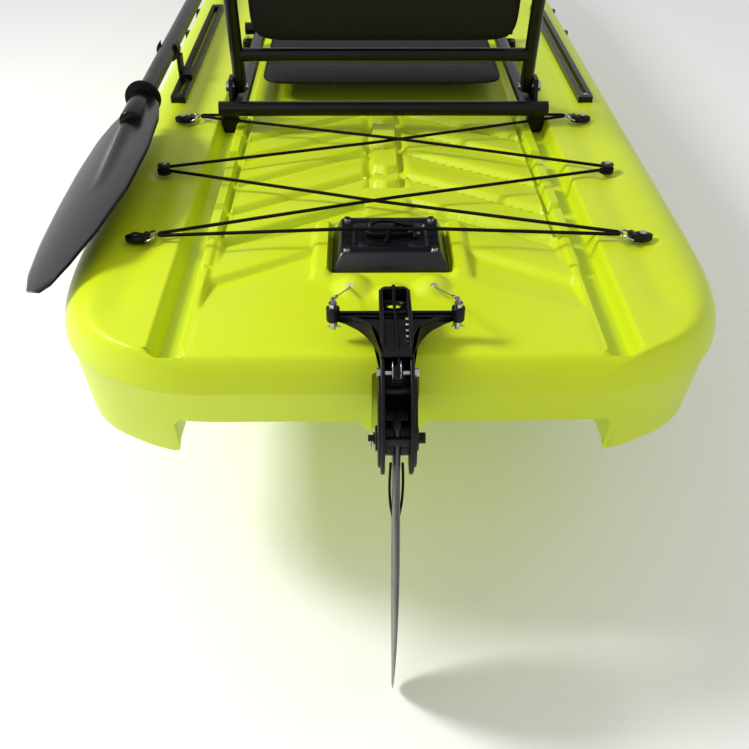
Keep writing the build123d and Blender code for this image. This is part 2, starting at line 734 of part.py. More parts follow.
with BuildPart() as cable_exits:
    for side in (-1, 1):
        rod(*exit_ends(side), exit_radius)
save(cable_exits, "cable_exits")

with BuildPart() as arm_pins:
    for side in (-1, 1):
        x = side * pin_x
        rod((x, at_row(arm_row), head_z - 12), (x, at_row(arm_row), head_z + 24), 2.9)
        rod((x, at_row(arm_row), head_z - 6), (x, at_row(arm_row), head_z), 5.5)
        rod((x, at_row(arm_row), head_z + 18), (x, at_row(arm_row), head_z + 24), 5.0)
        rod((x, at_row(arm_row), head_z + 21.5), (x, at_row(arm_row + 12.5), head_z + 21.5), 3.2)
        rod((x - 7, at_row(arm_row), head_z - 9), (x + 9, at_row(arm_row), head_z - 9), 1.0)
save(arm_pins, "arm_pins")

# ---- seat -------------------------------------------------------------------
rear_y = at_row(seat_rear_row)
front_y = at_row(seat_front_row)
tube_z = deck_height + seat_lift
gutter_floor = deck_height - gutter_depth
with BuildPart() as seat_base_frame:
    for y in (rear_y, front_y):
        rod((-285, y, tube_z), (285, y, tube_z), seat_tube / 2)
    for side in (-1, 1):
        rod((side * seat_rail_x, rear_y, tube_z), (side * seat_rail_x, front_y, tube_z),
            seat_tube / 2)
save(seat_base_frame, "seat_base_frame")

with BuildPart() as seat_feet:
    foot_top = tube_z - seat_tube / 2
    for side in (-1, 1):
        for y in (rear_y + foot_setback, front_y - foot_setback):
            block((side * gutter_centre, y, (gutter_floor + foot_top) / 2),
                  (30, 24, foot_top - gutter_floor), 6)
save(seat_feet, "seat_feet")

hinge_y = at_row(back_hinge_row)
hinge_z = deck_height + back_hinge_lift
bracket_x = seat_rail_x + seat_tube / 2 + 3
with BuildPart() as seat_brackets:
    for side in (-1, 1):
        side_profile(side * bracket_x, [
            (rear_y + 18, tube_z - 12),
            (hinge_y + 60, tube_z - 12),
            (hinge_y + 14, hinge_z + 16),
            (hinge_y - 14, hinge_z + 16),
            (rear_y + 12, tube_z + 6),
        ], 6)
        rod((side * (bracket_x - 5), hinge_y, hinge_z), (side * (bracket_x + 5), hinge_y, hinge_z),
            5, Mode.SUBTRACT)
save(seat_brackets, "seat_brackets")

with BuildPart() as seat_hinge_bolts:
    for side in (-1, 1):
        rod((side * (seat_rail_x - 14), hinge_y, hinge_z),
            (side * (bracket_x + 6), hinge_y, hinge_z), 5)
        rod((side * (bracket_x + 3), hinge_y, hinge_z),
            (side * (bracket_x + 9), hinge_y, hinge_z), 9)
save(seat_hinge_bolts, "seat_hinge_bolts")

lean = math.radians(back_lean)


def back_point(x, reach, offset=0.0):
    """Return a point on the leaning seat back, measured up from its hinge."""
    y = hinge_y - reach * math.sin(lean) + offset * math.cos(lean)
    z = hinge_z + reach * math.cos(lean) + offset * math.sin(lean)
    return (x, y, z)


with BuildPart() as seat_back_frame:
    for side in (-1, 1):
        rod(back_point(side * seat_rail_x, -7),
            back_point(side * seat_rail_x, back_height + back_tube / 2), back_tube / 2)
    for reach in (60, back_height):
        rod(back_point(-seat_rail_x, reach), back_point(seat_rail_x, reach), back_tube / 2)
    for side in (-1, 1):
        rod((side * (seat_rail_x - 20), hinge_y, hinge_z),
            (side * (seat_rail_x + 20), hinge_y, hinge_z), 5 + steer_clearance, Mode.SUBTRACT)
save(seat_back_frame, "seat_back_frame")

with BuildPart() as seat_back_pad:
    back_plane = Plane(origin=back_point(0, 80, 13), x_dir=(1, 0, 0),
                       z_dir=(0, -math.sin(lean), math.cos(lean)))
    with BuildSketch(back_plane):
        RectangleRounded(2 * seat_pad_half, 24, 8)
    extrude(amount=back_height - 92)
save(seat_back_pad, "seat_back_pad")

with BuildPart() as seat_pan:
    pan_length = front_y - rear_y - pan_setback - 20
    block((0, front_y - 20 - pan_length / 2, tube_z), (2 * seat_pad_half, pan_length, 24), 20)
save(seat_pan, "seat_pan")

# ---- gear tracks ------------------------------------------------------------
with BuildPart() as gear_tracks:
    for side in (-1, 1):
        for low, high in track_spans:
            z = deck_height + track_height / 2
            block((side * track_x, at_row((low + high) / 2), z), (track_width, high - low, track_height), 3)
    for side in (-1, 1):
        for low, high in track_spans:
            middle = at_row((low + high) / 2)
            with Locations((side * track_x, middle, deck_height + track_height - 4)):
                Box(9, high - low - 40, 20, mode=Mode.SUBTRACT)
save(gear_tracks, "gear_tracks")

with BuildPart() as track_screws:
    for side in (-1, 1):
        for low, high in track_spans:
            for row in (low + 10, high - 10):
                with Locations((side * track_x, at_row(row), deck_height + track_height)):
                    Cylinder(4, 2, align=(Align.CENTER, Align.CENTER, Align.MIN))
save(track_screws, "track_screws")

# ---- paddle and its clips on the port gear tracks ---------------------------
shaft_z = deck_height + paddle_lift
paddle_aft = at_row(paddle_tip_row)
paddle_fore = paddle_aft + paddle_length
blade_overlap = 60.0
with BuildPart() as paddle_shaft_tube:
    rod((paddle_x, paddle_aft + paddle_blade_length - blade_overlap, shaft_z),
        (paddle_x, paddle_fore - paddle_blade_length + blade_overlap, shaft_z), paddle_shaft / 2)
    rod((paddle_x, paddle_aft + paddle_blade_length - blade_overlap - 5, shaft_z),
        (paddle_x, paddle_fore - paddle_blade_length + blade_overlap + 5, shaft_z),
        paddle_shaft / 2 - 2, Mode.SUBTRACT)
save(paddle_shaft_tube, "paddle_shaft")

tilt = math.radians(paddle_blade_tilt)
blade_sheet = 4.0


def paddle_blade(tip_y, direction):
    """Build one paddle blade: a tilted oval sheet and the socket over the shaft."""
    plane = Plane(origin=(paddle_x, tip_y, shaft_z), x_dir=(math.cos(tilt), 0, math.sin(tilt)),
                  z_dir=(-math.sin(tilt), 0, math.cos(tilt)))
    forward = direction if plane.y_dir.Y > 0 else -direction
    half = paddle_blade_width / 2
    length = paddle_blade_length
    with BuildSketch(plane, mode=Mode.PRIVATE) as outline:
        with BuildLine():
            root_low = (-14, forward * length)
            root_high = (14, forward * length)
            Spline(root_low, (-0.82 * half, forward * 0.8 * length),
                   (-half, forward * 0.42 * length), (-0.6 * half, forward * 0.05 * length),
                   (0, 0), (0.75 * half, forward * 0.14 * length), (half, forward * 0.45 * length),
                   (0.7 * half, forward * 0.82 * length), root_high)
            Line(root_high, root_low)
        make_face()
    with BuildPart() as blade:
        extrude(outline.sketch, amount=blade_sheet)
        rod((paddle_x, tip_y + direction * 0.45 * length, shaft_z),
            (paddle_x, tip_y + direction * length, shaft_z), paddle_shaft / 2 + 2.5)
        rod((paddle_x, tip_y + direction * (length - blade_overlap), shaft_z),
            (paddle_x, tip_y + direction * (length + 5), shaft_z), paddle_shaft / 2, Mode.SUBTRACT)
    return blade


save(paddle_blade(paddle_aft, 1), "paddle_blade_aft")
save(paddle_blade(paddle_fore, -1), "paddle_blade_fore")

ring_offset = paddle_blade_length + 14.0
with BuildPart() as drip_rings:
    for y, direction in ((paddle_aft + ring_offset, 1), (paddle_fore - ring_offset, -1)):
        rod((paddle_x, y - 7, shaft_z), (paddle_x, y + 7, shaft_z), 22)
        rod((paddle_x, y - 2, shaft_z), (paddle_x, y + 2, shaft_z), 30)
        rod((paddle_x, y - 20, shaft_z), (paddle_x, y + 20, shaft_z), paddle_shaft / 2, Mode.SUBTRACT)
save(drip_rings, "drip_rings")

track_top = deck_height + track_height
clip_gap = 0.4
with BuildPart() as paddle_clips:
    for row in clip_rows:
        clip_y = at_row(row)
        block((-track_x, clip_y, track_top + 4), (26, 44, 8), 4)
        side_profile(-track_x - 10.5, [
            (clip_y - 12, track_top + 8),
            (clip_y + 12, track_top + 8),
            (clip_y + 12, shaft_z - 10),
            (clip_y - 12, shaft_z - 10),
        ], 8)
        rod((paddle_x, clip_y - 12, shaft_z), (paddle_x, clip_y + 12, shaft_z), paddle_shaft / 2 + 6)
        rod((paddle_x, clip_y - 20, shaft_z), (paddle_x, clip_y + 20, shaft_z),
            paddle_shaft / 2 + clip_gap, Mode.SUBTRACT)
        with Locations((paddle_x, clip_y, shaft_z + 25)):
            Box(paddle_shaft + 2 * clip_gap, 60, 50, mode=Mode.SUBTRACT)
save(paddle_clips, "paddle_clips")

# ---- bow hatch --------------------------------------------------------------
hatch_y = at_row(hatch_centre)
seal_top = hatch_top + seal_thickness
latch_lift = 4.2             # latch pivot above the lid
rim_width = hatch_width + 2 * hatch_rim
rim_length = hatch_length + 2 * hatch_rim
with BuildPart() as hatch_seal:
    with BuildSketch(Plane.XY.offset(hatch_top)):
        with Locations((0, hatch_y)):
            RectangleRounded(rim_width - 2, rim_length - 2, 69)
            RectangleRounded(hatch_width + 4, hatch_length + 4, 62, mode=Mode.SUBTRACT)
    extrude(amount=seal_thickness)
save(hatch_seal, "hatch_seal")

hinge_row_y = hatch_y + rim_length / 2 + 16
hatch_hinge_z = seal_top + 4
hinge_pin_radius = 4.0
latch_x = 90.0
latch_y = hatch_y - rim_length / 2 + 4
latch_z = seal_top + hatch_lid_thickness + latch_lift
with BuildPart() as bow_hatch_lid:
    block((0, hatch_y, seal_top + hatch_lid_thickness / 2),
          (rim_width + 6, rim_length + 6, hatch_lid_thickness), 72)
    fillet(bow_hatch_lid.faces().sort_by(Axis.Z)[-1].edges(), 5)
    for side in (-1, 1):
        block((side * 70, hinge_row_y - 12, seal_top + 5), (40, 34, 10))
        rod((side * 70 - 20, hinge_row_y, hatch_hinge_z), (side * 70 + 20, hinge_row_y, hatch_hinge_z), 9)
        block((side * latch_x, latch_y, seal_top + hatch_lid_thickness + 3), (30, 12, 8))
    rod((-120, hinge_row_y, hatch_hinge_z), (120, hinge_row_y, hatch_hinge_z),
        hinge_pin_radius + steer_clearance, Mode.SUBTRACT)
    for side in (-1, 1):
        rod((side * latch_x - 15, latch_y, latch_z), (side * latch_x + 15, latch_y, latch_z), 2,
            Mode.SUBTRACT)
save(bow_hatch_lid, "bow_hatch_lid")

with BuildPart() as hatch_hinge_pin:
    rod((-104, hinge_row_y, hatch_hinge_z), (104, hinge_row_y, hatch_hinge_z), hinge_pin_radius)
save(hatch_hinge_pin, "hatch_hinge_pin")

with BuildPart() as hatch_hinge_brackets:
    for side in (-1, 0, 1):
        foot_z = deck_line(hinge_row_y + 16) + 0.2
        block((side * 98, hinge_row_y + 6, (foot_z + hatch_hinge_z) / 2), (12, 20, hatch_hinge_z - foot_z))
        rod((side * 98 - 6, hinge_row_y, hatch_hinge_z), (side * 98 + 6, hinge_row_y, hatch_hinge_z), 8)
    rod((-120, hinge_row_y, hatch_hinge_z), (120, hinge_row_y, hatch_hinge_z), hinge_pin_radius,
        Mode.SUBTRACT)
save(hatch_hinge_brackets, "hatch_hinge_brackets")

for side, name in ((-1, "port"), (1, "starboard")):
    with BuildPart() as hatch_latch:
        for edge in (-1, 1):
            block((side * latch_x + edge * 18.5, latch_y - 8.1, latch_z), (6, 21.8, 5.8))
        block((side * latch_x, latch_y - 16, latch_z - 10), (43, 6, 30), 2)
        for edge in (-1, 1):
            rod((side * latch_x + edge * 21.5, latch_y, latch_z),
                (side * latch_x + edge * 15.5, latch_y, latch_z), 2 + steer_clearance, Mode.SUBTRACT)
    save(hatch_latch, "hatch_latch_" + name)

with BuildPart() as latch_pins:
    for side in (-1, 1):
        rod((side * latch_x - 21, latch_y, latch_z), (side * latch_x + 21, latch_y, latch_z), 2)
save(latch_pins, "latch_pins")

# ---- round hatch in front of the seat ---------------------------------------
with BuildPart() as round_hatch_rim:
    with Locations((0, round_y, deck_line(round_y))):
        Cylinder(round_radius + 16, 8, align=(Align.CENTER, Align.CENTER, Align.MIN))
    with Locations((0, round_y, deck_line(round_y) + 3)):
        Cylinder(round_radius + 0.4, 20, align=(Align.CENTER, Align.CENTER, Align.MIN),
                 mode=Mode.SUBTRACT)
    with Locations((0, round_y, deck_line(round_y) - 1)):
        Cylinder(cup_radius, 20, align=(Align.CENTER, Align.CENTER, Align.MIN), mode=Mode.SUBTRACT)
save(round_hatch_rim, "round_hatch_rim")

with BuildPart() as round_hatch_lid:
    with Locations((0, round_y, deck_line(round_y) + 3.3)):
        Cylinder(round_radius, 8, align=(Align.CENTER, Align.CENTER, Align.MIN))
    with Locations((0, round_y, deck_line(round_y) + 11.3)):
        Box(70, 12, 9, align=(Align.CENTER, Align.CENTER, Align.MIN))
save(round_hatch_lid, "round_hatch_lid")

# ---- foot controls ----------------------------------------------------------
rail_x = footwell_outer - 8.0
rail_z = 160.0
pedal_y = at_row(2080.0)
with BuildPart() as foot_rails:
    for side in (-1, 1):
        block((side * (rail_x + 2), pedal_y, rail_z), (12, 320, 24))
save(foot_rails, "foot_rails")

for side, name in ((-1, "port"), (1, "starboard")):
    with BuildPart() as foot_pedal:
        block((side * (rail_x - 9), pedal_y, rail_z), (9, 60, 34), 2)
        block((side * (rail_x - 60), pedal_y, rail_z + 10), (100, 18, 120), 4)
    save(foot_pedal, "foot_pedal_" + name)

# ---- carry handles ----------------------------------------------------------
handle_y = at_row(1490.0)
handle_z = deck_height - 70.0
handle_half = 75.0
for side, name in ((-1, "port"), (1, "starboard")):
    outer = side * (hull_beam / 2 + 12)
    with BuildPart() as side_handle:
        for end in (-1, 1):
            rod((outer, handle_y + end * handle_half, handle_z),
                (outer, handle_y + end * handle_half, handle_z - 44), 4)
            with Locations((outer, handle_y + end * handle_half, handle_z - 44)):
                Sphere(4)
            rod((outer, handle_y + end * (handle_half - 7), handle_z),
                (outer, handle_y + end * (handle_half + 7), handle_z), 7)
        rod((outer, handle_y - handle_half, handle_z - 44),
            (outer, handle_y + handle_half, handle_z - 44), 4)
        rod((outer, handle_y - 50, handle_z - 44), (outer, handle_y + 50, handle_z - 44), 11)
        rod((outer, handle_y - 100, handle_z), (outer, handle_y + 100, handle_z),
            4 + steer_clearance, Mode.SUBTRACT)
    save(side_handle, "side_handle_" + name)

with BuildPart() as handle_mounts:
    for side in (-1, 1):
        for end in (-1, 1):
            y = handle_y + end * (handle_half + 15)
            block((side * (hull_beam / 2 + 10), y, handle_z), (20, 14, 28), 2)
            for inner in (-1, 1):
                rod((side * (hull_beam / 2 + 12), y, handle_z),
                    (side * (hull_beam / 2 + 12), y - end * 22, handle_z), 4)
save(handle_mounts, "handle_mounts")

bow_handle_y = at_row(3215.0)
bow_handle_z = deck_line(bow_handle_y) + 16
with BuildPart() as bow_handle:
    for side in (-1, 1):
        rod((side * 52, bow_handle_y, bow_handle_z), (side * 52, bow_handle_y - 46, bow_handle_z), 5)
        with Locations((side * 52, bow_handle_y - 46, bow_handle_z)):
            Sphere(5)
        rod((side * 44, bow_handle_y, bow_handle_z), (side * 60, bow_handle_y, bow_handle_z), 8)
    rod((-52, bow_handle_y - 46, bow_handle_z), (52, bow_handle_y - 46, bow_handle_z), 5)
    rod((-36, bow_handle_y - 46, bow_handle_z), (36, bow_handle_y - 46, bow_handle_z), 11)
    rod((-80, bow_handle_y, bow_handle_z), (80, bow_handle_y, bow_handle_z),
        5 + steer_clearance, Mode.SUBTRACT)
save(bow_handle, "bow_handle")

with BuildPart() as bow_handle_mount:
    foot_low = bow_handle_z - 16 + 1
    block((0, bow_handle_y, (foot_low + bow_handle_z + 8) / 2), (84, 22, bow_handle_z + 8 - foot_low), 4)
    rod((-62, bow_handle_y, bow_handle_z), (62, bow_handle_y, bow_handle_z), 5)
save(bow_handle_mount, "bow_handle_mount")

plug_y = at_row(3060.0)
with BuildPart() as drain_plug:
    with Locations((0, plug_y, deck_line(plug_y) + 1.6)):
        Cylinder(19, 6, align=(Align.CENTER, Align.CENTER, Align.MIN))
        Box(28, 6, 13, align=(Align.CENTER, Align.CENTER, Align.MIN))
save(drain_plug, "drain_plug")
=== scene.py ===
"""The looks of a sit-on-top kayak with a kick-up rudder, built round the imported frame."""
import logging
import math
from dataclasses import dataclass
from enum import Enum
from typing import Iterable, Optional, Sequence

import bmesh
import bpy
import numpy as np
from mathutils import Matrix, Vector


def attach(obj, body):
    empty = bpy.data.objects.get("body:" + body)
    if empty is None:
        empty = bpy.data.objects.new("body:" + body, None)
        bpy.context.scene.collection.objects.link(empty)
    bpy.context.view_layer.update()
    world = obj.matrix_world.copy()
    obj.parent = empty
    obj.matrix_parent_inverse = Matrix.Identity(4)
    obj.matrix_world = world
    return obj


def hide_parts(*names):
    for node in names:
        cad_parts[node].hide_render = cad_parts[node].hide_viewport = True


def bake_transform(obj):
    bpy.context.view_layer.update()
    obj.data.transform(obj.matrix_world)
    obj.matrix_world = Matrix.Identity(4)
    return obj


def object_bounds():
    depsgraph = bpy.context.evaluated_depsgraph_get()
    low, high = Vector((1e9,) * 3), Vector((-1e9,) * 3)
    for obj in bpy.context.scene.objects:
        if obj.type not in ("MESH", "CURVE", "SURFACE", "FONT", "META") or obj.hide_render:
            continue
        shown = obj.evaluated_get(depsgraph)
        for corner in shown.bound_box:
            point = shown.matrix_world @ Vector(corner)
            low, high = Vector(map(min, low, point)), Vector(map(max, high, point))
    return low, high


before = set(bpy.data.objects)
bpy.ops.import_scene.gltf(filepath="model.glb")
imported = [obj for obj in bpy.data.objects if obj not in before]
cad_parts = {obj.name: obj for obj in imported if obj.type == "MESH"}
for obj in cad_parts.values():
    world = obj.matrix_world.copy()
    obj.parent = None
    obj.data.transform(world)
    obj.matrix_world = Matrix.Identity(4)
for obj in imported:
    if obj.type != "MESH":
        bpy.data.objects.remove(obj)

CAD_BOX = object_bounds()
MM = 0.001
LOG = logging.getLogger("kayak")


class Slot(Enum):
    """Material slot names that each new piece is placed with."""

    HULL = "lime_polyethylene"
    NYLON = "black_nylon"
    STEEL = "stainless_steel"
    CABLE = "steel_cable"
    FABRIC = "seat_mesh"
    CORD = "braided_cord"
    BLADE = "rudder_aluminium"
    TUBE = "black_aluminium_tube"


# ---- finishes ----------------------------------------------------------------
def linear(hex_colour: str) -> tuple[float, float, float, float]:
    """Turn an sRGB hex value to linear RGBA.

    Args:
        hex_colour: Six hex digits.

    Returns:
        Linear red, green, blue and an alpha of 1.
    """
    channels = [int(hex_colour[i:i + 2], 16) / 255 for i in (0, 2, 4)]
    done = [c / 12.92 if c <= 0.04045 else ((c + 0.055) / 1.055) ** 2.4 for c in channels]
    return (done[0], done[1], done[2], 1.0)


def add_node(tree: bpy.types.NodeTree, kind: str, inputs: dict, **settings) -> bpy.types.Node:
    """Add a shader node with its settings, and its input values or links.

    Args:
        tree: The node tree.
        kind: The node's type.
        inputs: Socket name or index to a value, or to another node's output socket.
        settings: Properties of the node.

    Returns:
        The new node.
    """
    node = tree.nodes.new(kind)
    for name, value in settings.items():
        setattr(node, name, value)
    for key, value in inputs.items():
        if isinstance(value, bpy.types.NodeSocket):
            tree.links.new(value, node.inputs[key])
        else:
            node.inputs[key].default_value = value
    return node


@dataclass(frozen=True)
class Finish:
    """One real material and how its surface was made.

    The colour drifts between two tones over patches of patch_mm, and the surface
    has a fine relief of grain_mm whose height is grain_depth_mm.
    """

    name: str
    colour: str
    second: str
    roughness: float
    metallic: float = 0.0
    patch_mm: float = 60.0
    grain_mm: float = 1.2
    grain_depth_mm: float = 0.02
    coat: float = 0.0
    roughness_drift: float = 0.08
    subsurface: float = 0.0
    ior: Optional[float] = None
    specular: float = 0.5

    def material(self) -> bpy.types.Material:
        """Return this finish's material, made once."""
        known = bpy.data.materials.get(self.name)
        if known is not None:
            return known
        made = bpy.data.materials.new(self.name)
        made.use_nodes = True
        tree = made.node_tree
        shader = tree.nodes["Principled BSDF"]
        place = add_node(tree, "ShaderNodeTexCoord", {}).outputs["Object"]
        patches = add_node(tree, "ShaderNodeTexNoise",
                           {"Vector": place, "Scale": 1000 / self.patch_mm, "Detail": 4.0})
        mix = add_node(tree, "ShaderNodeMix",
                       {"Factor": patches.outputs["Fac"], "A": linear(self.colour),
                        "B": linear(self.second)}, data_type="RGBA")
        tree.links.new(mix.outputs["Result"], shader.inputs["Base Color"])
        low = self.roughness - self.roughness_drift
        high = self.roughness + self.roughness_drift
        rough = add_node(tree, "ShaderNodeMapRange",
                         {"Value": patches.outputs["Fac"], "To Min": low, "To Max": high})
        tree.links.new(rough.outputs["Result"], shader.inputs["Roughness"])
        grain = add_node(tree, "ShaderNodeTexNoise",
                         {"Vector": place, "Scale": 1000 / self.grain_mm, "Detail": 2.0})
        bump = add_node(tree, "ShaderNodeBump",
                        {"Height": grain.outputs["Fac"], "Strength": 0.6,
                         "Distance": self.grain_depth_mm * MM})
        tree.links.new(bump.outputs["Normal"], shader.inputs["Normal"])
        shader.inputs["Metallic"].default_value = self.metallic
        shader.inputs["Coat Weight"].default_value = self.coat
        if self.subsurface:
            shader.inputs["Subsurface Weight"].default_value = self.subsurface
            shader.inputs["Subsurface Radius"].default_value = (0.6, 0.9, 0.1)
            shader.inputs["Subsurface Scale"].default_value = 0.004
        if self.ior is not None:
            shader.inputs["IOR"].default_value = self.ior
        if not self.metallic:
            shader.inputs["Specular IOR Level"].default_value = self.specular
        self.pattern(tree, shader, place, mix)
        return made

    def pattern(self, tree: bpy.types.NodeTree, shader: bpy.types.Node,
                place: bpy.types.NodeSocket, mix: bpy.types.Node) -> None:
        """Add a finish's own pattern; a plain finish has none."""


@dataclass(frozen=True)
class Woven(Finish):
    """Cloth or braid: crossed threads that stand out of the surface."""

    thread_mm: float = 2.0
    thread_depth_mm: float = 0.3

    def pattern(self, tree: bpy.types.NodeTree, shader: bpy.types.Node,
                place: bpy.types.NodeSocket, mix: bpy.types.Node) -> None:
        """Add two crossed sets of threads to the relief."""
        sets = []
        for direction in ("X", "Y"):
            wave = add_node(tree, "ShaderNodeTexWave",
                            {"Vector": place, "Scale": 1000 / self.thread_mm / 20, "Distortion": 0.4},
                            bands_direction=direction)
            sets.append(wave.outputs["Fac"])
        cross = add_node(tree, "ShaderNodeMath", {0: sets[0], 1: sets[1]}, operation="MAXIMUM")
        bump = add_node(tree, "ShaderNodeBump",
                        {"Height": cross.outputs[0], "Strength": 0.8,
                         "Distance": self.thread_depth_mm * MM})
        tree.links.new(bump.outputs["Normal"], shader.inputs["Normal"])


# Rotomoulded polyethylene: satin, a little translucent, faint orange peel.
HULL_PLASTIC = Finish("rotomoulded_lime_polyethylene", "CDDF1C", "C6D816", 0.38, patch_mm=240, specular=0.32,
                      grain_mm=5.0, grain_depth_mm=0.05, subsurface=0.15, ior=1.5,
                      roughness_drift=0.05)
# Glass-filled nylon: black, half-matte, with a fine moulded grain.
NYLON = Finish("glass_filled_black_nylon", "040405", "080809", 0.38, patch_mm=25, specular=0.24,
               grain_mm=0.8, grain_depth_mm=0.03)
# Moulded polypropylene of the paddle blades: smooth and glossy.
GLOSSY_PLASTIC = Finish("moulded_black_polypropylene", "030403", "050705", 0.2, patch_mm=50, specular=0.18,
                        grain_mm=2.5, grain_depth_mm=0.02, coat=0.08)
# Black anodised aluminium tube: satin.
ANODISED = Finish("black_anodised_aluminium", "08090A", "0D0E10", 0.3, metallic=0.5,
                  patch_mm=30, grain_mm=0.6, grain_depth_mm=0.01)
# Moulded cover plate: smoother, with a bluish second tone that is a painted reflection of the sky, mixed in
# patches.
COVER_PLASTIC = Finish("moulded_black_cover_plastic", "0A0C10", "12151B", 0.27, patch_mm=45, specular=0.4,
                       grain_mm=0.9, grain_depth_mm=0.02, coat=0.15)
# Polished stainless steel of screws, rings and cables.
STEEL = Finish("polished_stainless_steel", "C9CACB", "A6A8AA", 0.22, metallic=1.0,
               patch_mm=8, grain_mm=0.4, grain_depth_mm=0.01)
# Rudder blade: dark grey anodised plate, brushed.
BLADE_METAL = Finish("grey_anodised_plate", "6A6C6C", "3C3F41", 0.38, metallic=0.55,
                     patch_mm=90, grain_mm=0.7, grain_depth_mm=0.015)
# Soft moulded rubber.
RUBBER = Finish("moulded_black_rubber", "070707", "0E0E0E", 0.55, patch_mm=20, specular=0.25,
                grain_mm=0.9, grain_depth_mm=0.05)
# Braided cord; the threads are drawn at 1.5 mm, coarser than real, so that they show.
BRAID = Woven("braided_black_polyester_cord", "040404", "080808", 0.7, patch_mm=4, specular=0.15,
              thread_mm=1.5, thread_depth_mm=0.25)
# Coated mesh fabric of the seat.
SEAT_MESH = Woven("coated_black_seat_mesh", "0B0B0C", "141416", 0.65, patch_mm=40, specular=0.25,
                  thread_mm=3.0, thread_depth_mm=0.5)
FLOOR = Finish("pale_studio_floor", "FDFDFD", "FAFAFA", 0.9, patch_mm=900, grain_mm=9)


# ---- modelling helpers ---------------------------------------------------------
def deselect() -> None:
    """Leave nothing selected, in object mode."""
    if bpy.context.object is not None and bpy.context.object.mode != "OBJECT":
        bpy.ops.object.mode_set(mode="OBJECT")
    bpy.ops.object.select_all(action="DESELECT")


def activate(piece: bpy.types.Object) -> None:
    """Select one piece alone and make it active."""
    deselect()
    piece.select_set(True)
    bpy.context.view_layer.objects.active = piece


def settle(piece: bpy.types.Object, name: str) -> bpy.types.Object:
    """Name a piece and put its place into its mesh.

    Args:
        piece: The new object.
        name: Its name.

    Returns:
        The same object, at the origin, unturned and unscaled.
    """
    activate(piece)
    bpy.ops.object.transform_apply(location=True, rotation=True, scale=True)
    piece.name = name
    piece.data.name = name
    return piece


def modify(piece: bpy.types.Object, kind: str, **settings) -> bpy.types.Object:
    """Add a modifier with its settings and apply it."""
    activate(piece)
    modifier = piece.modifiers.new(kind.lower(), kind)
    for key, value in settings.items():
        setattr(modifier, key, value)
    bpy.ops.object.modifier_apply(modifier=modifier.name)
    return piece


def smooth(piece: bpy.types.Object, degrees: float = 40.0) -> bpy.types.Object:
    """Shade a piece smooth, with edges above an angle kept sharp."""
    activate(piece)
    bpy.ops.object.shade_smooth_by_angle(angle=math.radians(degrees))
    return piece


def from_mesh(name: str, points: Sequence, faces: Sequence) -> bpy.types.Object:
    """Make an object from points in metres and faces, with its normals outwards."""
    mesh = bpy.data.meshes.new(name)
    mesh.from_pydata([tuple(p) for p in points], [], [tuple(f) for f in faces])
    mesh.update()
    made = bpy.data.objects.new(name, mesh)
    bpy.context.scene.collection.objects.link(made)
    activate(made)
    bpy.ops.object.mode_set(mode="EDIT")
    bpy.ops.mesh.select_all(action="SELECT")
    bpy.ops.mesh.remove_doubles(threshold=1e-6)
    bpy.ops.mesh.normals_make_consistent(inside=False)
    bpy.ops.object.mode_set(mode="OBJECT")
    return made


def loft(name: str, rings: Sequence[Sequence]) -> bpy.types.Object:
    """Skin closed rings of equal point counts, and close both ends.

    Args:
        name: The piece's name.
        rings: Each ring's points, in metres.

    Returns:
        The closed skin.
    """
    count = len(rings[0])
    faces: list[tuple] = []
    for a in range(0, (len(rings) - 1) * count, count):
        b = a + count
        faces += [(a + i, a + (i + 1) % count, b + (i + 1) % count, b + i) for i in range(count)]
    faces.append(tuple(range(count)))
    last = (len(rings) - 1) * count
    faces.append(tuple(range(last + count - 1, last - 1, -1)))
    return from_mesh(name, [point for ring in rings for point in ring], faces)


def grid_faces(rows: int, columns: int, start: int = 0) -> list[tuple]:
    """Return the faces of a sheet of points laid row by row, from a first point's number."""
    corners = [start + r * columns + c for r in range(rows - 1) for c in range(columns - 1)]
    return [(a, a + 1, a + columns + 1, a + columns) for a in corners]


def dress(piece: bpy.types.Object, finish: Finish) -> bpy.types.Object:
    """Give a piece one finish."""
    piece.data.materials.clear()
    piece.data.materials.append(finish.material())
    return piece


def place(piece: bpy.types.Object, body: str, slot: Slot, *stands_for: str) -> None:
    """Let a piece ride on a body and stand for CAD nodes."""
    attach(piece, body)
    if stands_for:
        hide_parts(*stands_for)
    LOG.info("%s: %d faces on %s", piece.name, len(piece.data.polygons), body)


def join(pieces: Sequence[bpy.types.Object], name: str) -> bpy.types.Object:
    """Join pieces to one object with a name."""
    deselect()
    for piece in pieces:
        piece.select_set(True)
    bpy.context.view_layer.objects.active = pieces[0]
    if len(pieces) > 1:
        bpy.ops.object.join()
    return settle(bpy.context.view_layer.objects.active, name)


def disc(centre: Sequence[float], axis: Sequence[float], radius: float, depth: float,
         bevel: float = 0.0, sides: int = 32) -> bpy.types.Object:
    """Add a round bar or washer, its edges bevelled.

    Args:
        centre: Middle of the bar, in metres.
        axis: Direction of its axis.
        radius: Its radius.
        depth: Its length.
        bevel: Width of the rounded edges.
        sides: Number of sides.

    Returns:
        The bar.
    """
    deselect()
    turn = Vector(axis).to_track_quat("Z", "Y").to_euler()
    bpy.ops.mesh.primitive_cylinder_add(vertices=sides, radius=radius, depth=depth,
                                        location=centre, rotation=turn)
    bar = settle(bpy.context.object, "bar")
    if bevel > 0:
        modify(bar, "BEVEL", width=bevel, segments=3, limit_method="ANGLE",
               angle_limit=math.radians(60))
    return smooth(bar)


